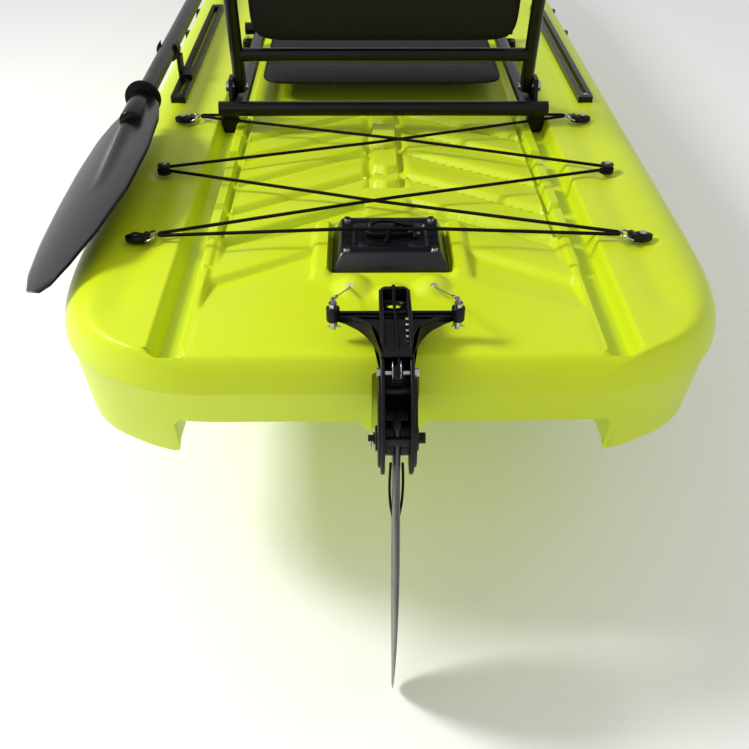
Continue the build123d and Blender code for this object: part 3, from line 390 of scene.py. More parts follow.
def tube_along(name: str, points: Sequence[Sequence[float]], radius: float, closed: bool = False,
               round_ends: bool = True, resolution: int = 8) -> bpy.types.Object:
    """Sweep a round bar along a smooth line through given points.

    Args:
        name: The piece's name.
        points: The line's points, in metres.
        radius: The bar's radius.
        closed: Whether the line joins its own start.
        round_ends: Whether the ends are filled.
        resolution: Points between two set points.

    Returns:
        A mesh.
    """
    deselect()
    curve = bpy.data.curves.new(name, "CURVE")
    curve.dimensions = "3D"
    spline = curve.splines.new("NURBS")
    spline.points.add(len(points) - 1)
    for point, spot in zip(spline.points, points):
        point.co = (*spot, 1.0)
    spline.use_cyclic_u = closed
    spline.use_endpoint_u = not closed
    spline.order_u = 3
    spline.resolution_u = resolution
    curve.bevel_depth = radius
    curve.bevel_resolution = 4
    curve.use_fill_caps = round_ends
    line = bpy.data.objects.new(name, curve)
    bpy.context.scene.collection.objects.link(line)
    activate(line)
    bpy.ops.object.convert(target="MESH")
    return smooth(settle(bpy.context.object, name), 60)


def slab(name: str, outline: Sequence[Sequence[float]], low: float, high: float,
         bevel: float, axes: str = "xyz", segments: int = 3) -> bpy.types.Object:
    """Extrude a flat outline to a plate with rounded edges.

    Args:
        name: The piece's name.
        outline: Points in the plate's own plane, in metres.
        low: Start of the extrusion along the third axis.
        high: End of the extrusion.
        bevel: Width of the rounded edges.
        axes: "xyz" for an outline in x and y, "yzx" for one in y and z, "xzy" for x and z.
        segments: Segments of the bevel.

    Returns:
        The plate.
    """
    order = ["xyz".index(a) for a in axes]
    points = []
    for level in (low, high):
        for first, second in outline:
            spot = [0.0, 0.0, 0.0]
            spot[order[0]] = first
            spot[order[1]] = second
            spot[order[2]] = level
            points.append(spot)
    count = len(outline)
    faces = [list(range(count)), list(range(2 * count - 1, count - 1, -1))]
    faces += [(i, (i + 1) % count, (i + 1) % count + count, i + count) for i in range(count)]
    plate = from_mesh(name, points, faces)
    if bevel > 0:
        modify(plate, "BEVEL", width=bevel, segments=segments, limit_method="ANGLE",
               angle_limit=math.radians(35))
    return smooth(plate)


def cut(piece: bpy.types.Object, tool: bpy.types.Object, solver: str = "MANIFOLD") -> bpy.types.Object:
    """Cut a tool's shape out of a piece and delete the tool."""
    modify(piece, "BOOLEAN", object=tool, operation="DIFFERENCE", solver=solver)
    bpy.data.objects.remove(tool)
    return piece


def ramp(value: np.ndarray, width: float) -> np.ndarray:
    """Return 0 below zero, 1 above width and a smooth step between them."""
    share = np.clip(value / width, 0.0, 1.0)
    return share * share * (3 - 2 * share)


def ease(value: float, start: float, end: float) -> float:
    """Return 0 before start, 1 after end and a smooth step between them."""
    share = min(max((value - start) / (end - start), 0.0), 1.0)
    return share * share * (3 - 2 * share)


# ---- the hull --------------------------------------------------------------------
@dataclass
class Hull:
    """The rotomoulded hull; every size is in millimetres, y from the stern deck edge."""

    length: float = 3300.0
    beam: float = 890.0
    deck: float = 270.0
    sheer: float = 80.0
    edge_width: float = 62.0
    edge_drop: float = 56.0
    stern_flat: float = 230.0
    corner_length: float = 370.0
    stern_edge: float = 27.0
    lean: float = 0.41
    rocker_stern: float = 64.0
    rocker_bow: float = 175.0
    tunnel_stern: float = 150.0
    tunnel_mid: float = 35.0
    sponson_inner: float = 285.0
    strip_half: float = 34.0
    taper: float = 1150.0
    bow_tip: float = 60.0
    fine_step: float = 4.2
    fine_length: float = 770.0
    tooth_rows: tuple = ((209, 283), (298, 371), (387, 465), (482, 546), (578, 648), (657, 738))
    slant: float = 0.617

    @property
    def stern(self) -> float:
        """Return the transom's y."""
        return -self.length / 2

    @property
    def datum(self) -> float:
        """Return the y of the stern deck edge, that rows are measured from."""
        return self.stern + 10.0

    def half_beam(self, y: float) -> float:
        """Return the half beam at y, with the rounded stern corners."""
        if y < self.stern + self.corner_length:
            left = 1 - (y - self.stern) / self.corner_length
            return self.stern_flat + (self.beam / 2 - self.stern_flat) * math.sqrt(1 - left ** 3.8)
        share = min(max((y - (self.length / 2 - self.taper)) / self.taper, 0.0), 1.0)
        return self.bow_tip + (self.beam / 2 - self.bow_tip) * (1 - share ** 2.5) ** 0.8

    def deck_line(self, y: float) -> float:
        """Return the side deck's height at y."""
        return self.deck + self.sheer * ease(y, self.length / 2 - 1150, self.length / 2 + 500)

    def stern_round(self, y: float) -> float:
        """Return how far the deck has rounded down over the transom at y."""
        share = max(self.stern_edge - (y - self.stern), 0.0) / self.stern_edge
        return self.edge_drop * (1 - math.sqrt(max(1 - share ** 2.3, 0.0)))

    def keel(self, y: float) -> float:
        """Return the height of the sponson bottoms at y."""
        aft = self.rocker_stern * (1 - ease(y, self.stern - 300, self.stern + 900)) / 0.844
        share = max((y - (self.length / 2 - 1000)) / 1000, 0.0)
        return min(aft, self.rocker_stern) + self.rocker_bow * share ** 2.2

    def roof(self, y: float) -> float:
        """Return the height of the tunnel's roof at y."""
        deep = self.tunnel_stern - self.rocker_stern
        depth = deep + (self.tunnel_mid - deep) * ease(y, self.stern, self.stern + 1000)
        half = self.length / 2
        return self.keel(y) + depth - (self.tunnel_mid - 14) * ease(y, half - 1000, half)

    def strip(self, y: float) -> float:
        """Return the height of the keel strip's bottom at y."""
        depth = 22 + (self.tunnel_mid - 22) * ease(y, self.stern, self.stern + 1000)
        return self.roof(y) - depth + 12 * ease(y, self.length / 2 - 900, self.length / 2)

    def relief(self, x: np.ndarray, row: float) -> np.ndarray:
        """Return the deck's relief under the side deck plane.

        Args:
            x: Distances from the centreline.
            row: Distance forward of the stern deck edge.

        Returns:
            Heights, negative down.
        """
        far = np.abs(x)
        y = np.full_like(x, row)
        along = ramp(y - 1.0, 9.0) * ramp(1184.0 - y, 8.0)
        # the field between the gutters: a rear plateau, then falling a little
        shape = -5.0 - 5.0 * ramp(y - 60.0, 120.0)
        crease = 163.0 - (far - 111.0) * 0.53
        first_step = 177.0 + (244.0 - far) * self.slant
        # sloping recess aft of the first step, deepest at the step's foot
        slope = np.clip((y - crease) / np.maximum(first_step - crease, 8.0), 0, 1)
        recess = -10.0 * slope * ramp(y - crease, 14.0) * ramp(first_step - y, 8.0)
        shape = shape + recess * ramp(250.0 - far, 10.0) * ramp(far - 84.0, 8.0)
        # chevron steps: each panel falls gently forward to the foot of the next step
        for number, (low, high) in enumerate(self.tooth_rows[1:]):
            foot = low - 12.0 + (244.0 - far) * self.slant
            width = 26.0 if number == 0 else 15.0
            depth = 16.0 if number == 0 else 12.5
            groove = ramp(y - foot + width, width - 8.0) * ramp(foot - y, 8.0)
            fall = ramp(y - foot + 85.0, 85.0) * ramp(foot - y, 8.0) * 0.55
            inside = ramp(238.0 - far, 7.0) * ramp(far - 30.0, 7.0)
            shape = shape - depth * np.maximum(groove, fall) * inside
        # teeth at the outer ends of the panels, with a narrow gap inboard of them
        teeth = np.zeros_like(x)
        for low, high in self.tooth_rows:
            teeth = np.maximum(teeth, ramp(y - low + 4.0, 5.0) * ramp(high + 4.0 - y, 5.0))
        aft_part = ramp(209.0 - y, 8.0)
        border = np.maximum(teeth, aft_part)
        gap = ramp(far - 234.0, 4.0) * ramp(246.0 - far, 4.0)
        shape = shape - 11.0 * (gap * ramp(y - 290.0, 6.0) * ramp(745.0 - y, 6.0))
        band = ramp(far - 240.0, 6.0)
        shape = shape * (1 - band) + band * (-6.0 - 17.0 * (1 - border)) * ramp(752.0 - y, 8.0) \
            + band * -12.0 * (1 - ramp(752.0 - y, 8.0))
        # spine blocks on the centreline, each with a pointed front
        spine = np.zeros_like(x)
        for low, high in ((455, 494), (510, 590), (600, 700), (711, 760)):
            low_edge = low + far * 0.5
            high_edge = high + far * 0.5
            spine = np.maximum(spine, ramp(y - low_edge, 7.0) * ramp(high_edge - y, 7.0))
        spine_zone = ramp(y - 448.0, 6.0) * ramp(752.0 - y, 8.0)
        inner = ramp(36.0 - far, 8.0) * spine_zone
        shape = shape * (1 - inner) + inner * (-20.0 + 14.0 * spine * ramp(24.0 - far, 6.0))
        # ridges beside the plate, and the pocket that the plate sits in
        ridge = ramp(far - 80.0, 7.0) * ramp(110.0 - far, 7.0)
        ridge = ridge * ramp(y - 176.0, 12.0) * ramp(338.0 - y, 12.0)
        shape = shape * (1 - ridge) + ridge * -3.0
        pocket = ramp(86.5 - far, 5.0) * ramp(y - 195.0, 6.0) * ramp(322.0 - y, 6.0)
        shape = shape * (1 - pocket) + pocket * -21.5
        # domes of the cable exits, and one on the centreline
        domes = ((-52, 158, 27, 14), (52, 158, 27, 14), (0, 138, 26, 10))
        for spot_x, spot_row, radius, rise in domes:
            away = ((x - spot_x) ** 2 + ((y - spot_row) * 0.85) ** 2) / radius ** 2
            shape = shape + rise * np.clip(1 - away, 0, 1) ** 1.15
        # outer edge of the field, the gutter and its outer wall
        edge = np.where(y < 290, 255.0 + 4 * ramp(y - 180.0, 40.0), 262.0)
        inside_field = ramp(edge + 5.0 - far, 9.0)
        gutter = -25.0 * ramp(292.0 - far, 9.0)
        shape = (shape * inside_field + gutter * (1 - inside_field)) * along
        # shallow dishes round the cord's anchors and guides
        for spot_row, radius, depth in ((264, 27, 3.0), (482, 25, 3.5), (693, 24, 2.5)):
            away = ((far - 350.0) ** 2 + (y - spot_row) ** 2) / radius ** 2
            shape = shape - depth * (1 - ramp(away - 0.45, 0.55))
        # long shallow valley along each side deck
        valley = ramp(y - 60.0, 60.0) * ramp(1100.0 - y, 80.0)
        shape = shape - 3.5 * valley * np.exp(-((far - 344.0) / 20.0) ** 2)
        return shape + self.wells(x, far, y)

    def wells(self, x: np.ndarray, far: np.ndarray, y: np.ndarray) -> np.ndarray:
        """Return the footwells, the hatch tub with its rim, and the cup of the round hatch."""
        across = ramp(far - 74.0, 9.0) * ramp(287.0 - far, 9.0)
        foot = across * ramp(y - 1236.0, 16.0) * ramp(2304.0 - y, 16.0)
        shape = -190.0 * foot
        hatch_y = y - 2650.0
        corner = 70.0
        over_x = np.maximum(far - (175.0 - corner), 0.0)
        over_y = np.maximum(np.abs(hatch_y) - (210.0 - corner), 0.0)
        reach = corner - np.sqrt(over_x ** 2 + over_y ** 2)
        rise = 318.0 - self.deck_line(self.datum + float(y.flat[0]))
        shape = shape + rise * ramp(reach, 7.0)
        shape = shape - 60.0 * ramp(reach - 11.0, 7.0)
        cup = 44.0 - np.sqrt(x ** 2 + (y - 2365.0) ** 2)
        return shape - 30.0 * ramp(cup, 8.0)

    def rows(self) -> list[float]:
        """Return the y of every ring, close together where the deck has relief."""
        ends = [self.stern + s for s in (0.0, 0.25, 0.8, 1.7, 3.0, 4.6, 6.5, 8.8, 11.5, 14.5, 18.0)]
        fine = list(np.arange(self.stern + 22.0, self.datum + self.fine_length, self.fine_step))
        coarse = []
        y = self.datum + self.fine_length
        dense = (1184.0, 1244.0, 2298.0, 2365.0, 2445.0, 2855.0)
        while y < self.length / 2 - 12:
            coarse.append(y)
            near = min(abs(y - self.datum - spot) for spot in dense)
            y += 5.0 if near < 22 else (12.0 if near < 50 else 22.0)
        return ends + fine + coarse + [self.length / 2 - 7, self.length / 2 - 3, self.length / 2]

    def ring(self, y: float) -> list[tuple[float, float, float]]:
        """Return one closed cross-section, from the starboard deck edge round to port and back."""
        end = ease(y, self.length / 2 - 30, self.length / 2)
        aft = y - self.stern
        half = self.half_beam(y) - 14.0 * end
        deck = self.deck_line(y)
        scale = min(half / (self.beam / 2), 1.0)
        top = deck - self.stern_round(y) - 22.0 * end
        low = deck - self.edge_drop
        edge_width = self.edge_width * (0.35 + 0.65 * scale) * (0.4 + 0.6 * ease(aft, 0, 230))
        flat = half - edge_width
        inner = np.concatenate([np.linspace(0, 228, 51), np.linspace(230.5, 298, 27)])
        inner = inner * min(flat / 306.0, 1.0)
        outer = np.linspace(inner[-1], flat, 14)[1:]
        right = np.concatenate([inner, outer])
        columns = np.concatenate([-right[:0:-1], right])
        fade = ramp(flat + 2.0 - np.abs(columns), 10.0)
        heights = top + self.relief(columns, y - self.datum) * fade
        points = [(float(cx), float(cz)) for cx, cz in zip(columns, heights)]
        side = [(flat + edge_width * math.sin(math.pi / 20 * step),
                 low + (top - low) * math.cos(math.pi / 20 * step)) for step in range(1, 11)]
        side += self.under_edge(y, half, low, scale)
        points += side + [(-sx, sz) for sx, sz in reversed(side)]
        hold = max(1 - aft / 300.0, 0.0) ** 1.5 * self.lean
        return [(px, y + hold * max(low - pz, 0.0), pz) for px, pz in points]

    def under_edge(self, y: float, half: float, low: float, scale: float) -> list[tuple[float, float]]:
        """Return the section from the parting line down round the sponson to the keel strip.

        Args:
            y: Where the section is.
            half: Half beam there.
            low: Height of the parting line.
            scale: Half beam over the widest half beam.

        Returns:
            Points of the starboard half, from the parting line inwards.
        """
        roof = self.roof(y)
        strip = self.strip(y)
        tuck = 22.0 * scale * ease(y - self.stern, 40.0, 420.0) + 4.0
        limit = self.sponson_inner * (scale if y > 0 else 1.0)
        leg = half - tuck - limit
        foot = min(limit, half - tuck - 10.0)
        keel = roof + (self.keel(y) - roof) * float(ramp(np.array(leg - 2.0), 9.0))
        bilge = max(min(24.0, 0.35 * (half - tuck - foot)), 2.0)
        depth = roof - keel
        inner = min(12.0, 0.3 * depth, 0.3 * (half - tuck - bilge - foot))
        wall_x = foot - 8.0 * min(depth / 40.0, 1.0)
        rise = low - keel
        side = [(half - 0.6, low - 1.2), (half - 2.4, low - 3.0), (half - 3.0, low - 6.0)]
        side += [(half - 3.0 - (tuck - 3.0) * part, low - 6.0 - (rise - 6.0 - bilge) * part)
                 for part in (0.25, 0.5, 0.75)]
        side += [(half - tuck - bilge + bilge * math.cos(math.pi / 10 * step),
                  keel + bilge - bilge * math.sin(math.pi / 10 * step)) for step in range(0, 6)]
        side += [((half - tuck - bilge + foot + inner) / 2, keel), (foot + inner, keel),
                 (foot + 0.3 * inner, keel + 0.3 * inner), (foot, keel + inner),
                 (wall_x, roof - inner), (wall_x - 0.3 * inner, roof - 0.3 * inner),
                 (wall_x - inner, roof)]
        strip_half = min(self.strip_half * min(half / 200.0, 1.0), (wall_x - inner) * 0.5)
        side += [(strip_half + 8.0, roof), (strip_half, strip + 2.0), (strip_half - 3.0, strip)]
        return side

    def build(self) -> bpy.types.Object:
        """Build the hull's outer skin from its rings, and cut the rudder notch and the drains.

        The deck's relief is a height for every point of a fine grid, because that
        gives the soft edges of a rotomoulded skin.

        Returns:
            The hull.
        """
        rings = [[(px * MM, py * MM, pz * MM) for px, py, pz in self.ring(y)] for y in self.rows()]
        hull = loft("hull_skin", rings)
        self.check_skin(hull)
        self.cut_openings(hull)
        smooth(hull, 50)
        self.crease_parting_line(hull)
        return hull

    def crease_parting_line(self, hull: bpy.types.Object) -> None:
        """Keep the transom's flat lower face flat, with a crease along the parting line."""
        mesh = bmesh.new()
        mesh.from_mesh(hull.data)
        low = (self.deck - self.edge_drop) * MM
        for face in mesh.faces:
            if len(face.verts) > 20 and face.normal.y < -0.5:
                face.smooth = False
                for edge in face.edges:
                    if min(v.co.z for v in edge.verts) > low - 0.004:
                        edge.smooth = False
        mesh.to_mesh(hull.data)
        mesh.free()

    def check_skin(self, hull: bpy.types.Object) -> None:
        """Turn the faces outwards if they are not, and log whether the skin is closed."""
        mesh = bmesh.new()
        mesh.from_mesh(hull.data)
        if mesh.calc_volume(signed=True) < 0:
            bmesh.ops.reverse_faces(mesh, faces=mesh.faces)
        LOG.info("hull volume %.4f m3, open edges %d", mesh.calc_volume(signed=True),
                 sum(1 for e in mesh.edges if not e.is_manifold))
        mesh.to_mesh(hull.data)
        mesh.free()

    def cut_openings(self, hull: bpy.types.Object) -> None:
        """Cut the notch for the rudder and the four scupper drains."""
        half = 28.0 * MM
        front = (self.datum + 38.0) * MM
        back = (self.stern - 40.0) * MM
        top = (self.deck - 26.0) * MM
        outline = [(-half, back), (-half, front - 0.012), (-half + 0.012, front),
                   (half - 0.012, front), (half, front - 0.012), (half, back)]
        notch = slab("notch", outline, 0.02, top, 0.004)
        cut(hull, notch)
        for side in (-1, 1):
            for row in (1120.0, 1700.0):
                spot = (side * 0.150, (self.datum + row) * MM, 0.15)
                cut(hull, disc(spot, (0, 0, 1), 0.018, 0.5, 0.0, 28))

    def make(self) -> None:
        """Build and dress the hull, and let it stand for the CAD hull."""
        hull = dress(self.build(), HULL_PLASTIC)
        place(hull, "hull_body", Slot.HULL, "hull")


# ---- rudder ------------------------------------------------------------------------
@dataclass
class Rudder:
    """The rudder head with its tiller arm, the blade, its cords and the steering cables."""

    hull: Hull
    head_half: float = 19.0
    wall: float = 5.0
    arm_half: float = 74.0
    arm_row: float = 30.0
    pivot: tuple = (-1710.0, 198.0)
    body: str = "rudder_head_body"

    def row(self, value: float) -> float:
        """Return the y in metres of a row."""
        return (self.hull.datum + value) * MM

    def profile(self, *points: tuple[float, float]) -> list[tuple[float, float]]:
        """Return an outline in y and z from rows and heights."""
        return [(self.row(row), height) for row, height in points]

    def bar(self, row: float, height: float, length: float, depth: float) -> bpy.types.Object:
        """Return a bridge between the cheeks, at a row and height, in millimetres."""
        half = (self.head_half - 1.0) * MM
        low, high = self.row(row) - length / 2 * MM, self.row(row) + length / 2 * MM
        return slab("bridge", [(-half, low), (half, low), (half, high), (-half, high)],
                    (height - depth / 2) * MM, (height + depth / 2) * MM, 0.001)

    def cheeks(self) -> list[bpy.types.Object]:
        """Return the two side plates of the channel, bending down to the blade's pivot."""
        pivot_y, pivot_z = (v * MM for v in self.pivot)
        outline = self.profile(
            (82, 0.2865), (84, 0.291), (82, 0.304), (76, 0.3065), (20, 0.3095), (-22, 0.303),
            (-46, 0.292), (-70, 0.276), (-92, 0.254), (-103, 0.230), (-106, 0.200), (-104, 0.178),
            (-97, 0.166), (-84, 0.160), (-66, 0.161), (-54, 0.168), (-42, 0.194), (-31, 0.222),
            (-31, 0.256), (-20, 0.270), (20, 0.276), (44, 0.2855))
        pad = self.profile(
            (-54, 0.274), (-74, 0.264), (-94, 0.242), (-101, 0.222), (-101, 0.186), (-92, 0.172),
            (-72, 0.168), (-58, 0.176), (-46, 0.204), (-42, 0.240))
        plates = []
        for side in (-1, 1):
            middle = side * (self.head_half - self.wall / 2) * MM
            half = self.wall / 2 * MM
            plates.append(slab("cheek", outline, middle - half, middle + half, 0.0016, "yzx"))
            inner, outer = sorted((side * 0.0180, side * 0.0222))
            plates.append(slab("cheek_pad", pad, inner, outer, 0.0014, "yzx"))
            plates.append(disc((side * 0.0230, pivot_y, pivot_z), (1, 0, 0), 0.0150, 0.004, 0.0012))
        return plates

    def channel(self) -> list[bpy.types.Object]:
        """Return the floor of the channel, its rounded front end and the bridges across it."""
        half = (self.head_half - 1.0) * MM
        front = self.row(85)
        pieces = []
        outline = [(-half, self.row(-20)), (half, self.row(-20)), (half, front - 0.012)]
        outline += [(half - 0.012 + 0.012 * math.cos(a), front - 0.012 + 0.012 * math.sin(a))
                    for a in (0.4, 0.8, 1.2, 1.57)]
        outline += [(-x, y) for x, y in reversed(outline[2:])]
        floor = slab("channel_floor", outline, 0.2860, 0.2915, 0.0014)
        turns = [step * math.pi / 12 for step in range(24)]
        window = slab("window", [(0.0100 * math.cos(turn) - 0.0008,
                                  self.row(66) + 0.0075 * math.sin(turn)) for turn in turns],
                      0.27, 0.34, 0.0)
        pieces.append(cut(floor, window))
        end = [(-0.0178, 0.2870), (0.0178, 0.2870), (0.0182, 0.2990), (0.0165, 0.3045),
               (0.0120, 0.3068), (-0.0120, 0.3068), (-0.0165, 0.3045), (-0.0182, 0.2990)]
        pieces.append(slab("front_wall", end, self.row(79.5), self.row(84.5), 0.0012, "xzy"))
        slope = self.profile((30, 0.287), (-20, 0.2755), (-35, 0.262), (-39, 0.180),
                             (-35, 0.180), (-31, 0.258), (-18, 0.2705), (30, 0.281))
        pieces.append(slab("channel_back", slope, -half, half, 0.001, "yzx"))
        pieces += [self.bar(-62.0, 262.0, 8.0, 6.0), self.bar(-96.0, 216.0, 6.0, 10.0)]
        pieces.append(disc((0, self.row(-14), 0.201), (0, 0, 1), 0.012, 0.053, 0.001, 40))
        pieces.append(slab("web", [(-0.008, self.row(-36)), (0.008, self.row(-36)),
                                   (0.008, self.row(-16)), (-0.008, self.row(-16))], 0.1755, 0.2265, 0.001))
        return pieces

    def arm(self) -> list[bpy.types.Object]:
        """Return the tiller arm: a thin plate with swept rear edges, flanges and end bosses."""
        sweep = []
        reach = self.arm_half - 8.0
        for step in range(13):
            turn = math.pi / 2 * step / 12
            sweep.append((18.0 + (reach - 18.0) * (1 - math.sin(turn)) ** 1.25,
                          27.0 - 72.0 * (1 - math.cos(turn)) ** 1.1))
        outline = [(-reach * MM, self.row(38)), (-reach * MM, self.row(24))]
        outline += [(-x * MM, self.row(r)) for x, r in sweep]
        outline += [(x * MM, self.row(r)) for x, r in reversed(sweep)]
        outline += [(reach * MM, self.row(24)), (reach * MM, self.row(38))]
        pieces = [slab("arm_plate", outline, 0.2945, 0.2985, 0.0009)]
        front = [(-reach * MM, self.row(35)), (reach * MM, self.row(35)), (reach * MM, self.row(39)),
                 (-reach * MM, self.row(39))]
        pieces.append(slab("arm_front_rim", front, 0.2905, 0.3015, 0.0009))
        for side in (-1, 1):
            points = [(side * x, r) for x, r in sweep]
            inner = [(side * (abs(x) + 0.6) * MM, self.row(r + 3.2)) for x, r in points]
            outer = [(x * MM, self.row(r)) for x, r in points]
            flange = slab("arm_flange", outer + list(reversed(inner)), 0.2740, 0.3010, 0.0)
            for vertex in flange.data.vertices:
                if vertex.co.z < 0.29:
                    share = min(max((abs(vertex.co.x) / MM - 18.0) / (reach - 18.0), 0.0), 1.0)
                    vertex.co.z = 0.2640 + 0.0290 * share ** 0.6
            modify(flange, "BEVEL", width=0.0008, segments=2, limit_method="ANGLE",
                   angle_limit=math.radians(50))
            pieces.append(smooth(flange, 40))
            end_x = side * (self.arm_half - 1.0) * MM
            pieces.append(disc((end_x, self.row(self.arm_row), 0.303), (0, 0, 1), 0.0080, 0.018, 0.0012))
            pieces.append(slab("arm_rib", [(side * 0.020, self.row(26)), (side * 0.066, self.row(28)),
                                           (side * 0.066, self.row(31)), (side * 0.020, self.row(29))],
                               0.2975, 0.3010, 0.0006))
        return pieces

    def details(self) -> None:
        """Add the small bright fittings inside the channel."""
        rivets = []
        for step in range(7):
            part = step / 6
            spot = (0.0128, self.row(14 - 50 * part), (0.306 - 0.014 * part))
            rivets.append(disc(spot, (1, 0, 0), 0.0019, 0.0035, 0.0005, 16))
        for offset in (-0.0056, 0.0036):
            rim = [(offset, self.row(-48) + 0.0125 * math.cos(a), 0.279 + 0.0125 * math.sin(a))
                   for a in np.linspace(0, 2 * math.pi, 24, endpoint=False)]
            rivets.append(tube_along("sheave_rim", rim, 0.0007, closed=True, resolution=3))
        rivets.append(disc((-0.0208, self.row(-48), 0.276), (1, 0, 0), 0.0050, 0.005, 0.0018, 24))
        place(dress(join(rivets, "channel_fittings"), STEEL), self.body, Slot.STEEL)

    def blade(self) -> None:
        """Build the blade as a thin foil, thick at its head and fine at its edges and tip."""
        pivot_y, pivot_z = self.pivot
        # drop below the pivot, rear edge and front edge
        stations = [(22, -14, 14), (12, -23, 23), (0, -25, 25), (-40, -26, 25), (-62, -34, 25),
                    (-90, -62, 25), (-130, -92, 25), (-170, -103, 24), (-220, -106, 22),
                    (-270, -102, 16), (-320, -92, 6), (-360, -80, -6), (-390, -68, -18),
                    (-408, -58, -28), (-417, -48, -38)]
        rings = []
        sides = 28
        for drop, rear, front in stations:
            chord = front - rear
            thick = 4.9 if drop > -60 else max(4.9 * (1 - ((-60 - drop) / 366) ** 2.0), 0.9)
            ring = []
            for i in range(sides):
                turn = 2 * math.pi * i / sides
                along = 0.5 + 0.5 * math.cos(turn)
                shape = math.copysign(abs(math.sin(turn)) ** 0.7, math.sin(turn))
                ring.append((thick * shape * MM, (pivot_y + rear + chord * along) * MM,
                             (pivot_z + drop) * MM))
            rings.append(ring)
        blade = smooth(loft("rudder_blade_foil", rings), 50)
        place(dress(blade, BLADE_METAL), "rudder_blade_body", Slot.BLADE, "rudder_blade")

    def cords(self) -> None:
        """Add the lift cord's loop round the blade's edge, and the rope inside the channel."""
        pivot_y, pivot_z = self.pivot
        loop = [(-6.9, -14, -26), (-8.2, -17, -50), (-7.2, -20, -84), (-3.8, -24, -104),
                (0.0, -37, -110), (3.8, -24, -104), (7.2, -20, -84), (8.2, -17, -50), (6.9, -14, -26)]
        path = [(x * MM, (pivot_y + y) * MM, (pivot_z + z) * MM) for x, y, z in loop]
        cord = tube_along("blade_loop", path, 0.0016)
        place(dress(cord, BRAID), "rudder_blade_body", Slot.CORD, "blade_cord")
        rope = tube_along("lift_line", [(-0.001, self.row(83), 0.3085), (-0.001, self.row(70), 0.305),
                                        (-0.001, self.row(40), 0.302), (0.000, self.row(10), 0.3045),
                                        (0.001, self.row(-20), 0.302), (0.002, self.row(-46), 0.2925),
                                        (0.002, self.row(-60), 0.283)], 0.0020)
        place(dress(rope, BRAID), self.body, Slot.CORD, "lift_rope")

    def ring(self) -> None:
        """Add the split ring of two coils hanging from the pivot pin."""
        pivot_y, pivot_z = self.pivot
        points = []
        for step in range(37):
            turn = 2 * math.pi * step / 18
            points.append(((-31.0 + 1.5 * step / 36) * MM, (pivot_y + 7.0 * math.sin(turn)) * MM,
                           (pivot_z - 7.0 + 7.0 * math.cos(turn)) * MM))
        ring = tube_along("pin_split_ring", points, 0.00085, resolution=3)
        place(dress(ring, STEEL), self.body, Slot.STEEL, "split_ring")

    def cables(self) -> None:
        """Add the two steering cables, twisted wires with a crimp sleeve at each end."""
        for side, name in ((-1, "port"), (1, "starboard")):
            start = Vector((side * 0.054, self.row(141), 0.270))
            end = Vector((side * 0.073, self.row(43), 0.315))
            wires = []
            normal = (end - start).cross(Vector((0, 0, 1))).normalized()
            other = (end - start).cross(normal).normalized()
            for strand in range(3):
                path = []
                for step in range(61):
                    turn = 2 * math.pi * (step / 6 + strand / 3)
                    middle = start.lerp(end, step / 60)
                    path.append(middle + 0.0005 * (normal * math.cos(turn) + other * math.sin(turn)))
                wires.append(tube_along("wire", path, 0.00055, resolution=2))
            wires.append(disc(start.lerp(end, 0.10), end - start, 0.0021, 0.012, 0.0004, 16))
            wires.append(disc(start.lerp(end, 0.86), end - start, 0.0022, 0.014, 0.0004, 16))
            cable = dress(join(wires, "steering_wire_" + name), STEEL)
            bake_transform(cable)
            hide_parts("steering_cable_" + name)

    def make(self) -> None:
        """Build the whole rudder."""
        head = dress(join(self.cheeks() + self.channel() + self.arm(), "rudder_head_frame"), NYLON)
        place(head, self.body, Slot.NYLON, "rudder_head")
        self.details()
        self.blade()
        self.cords()
        self.ring()
        self.cables()


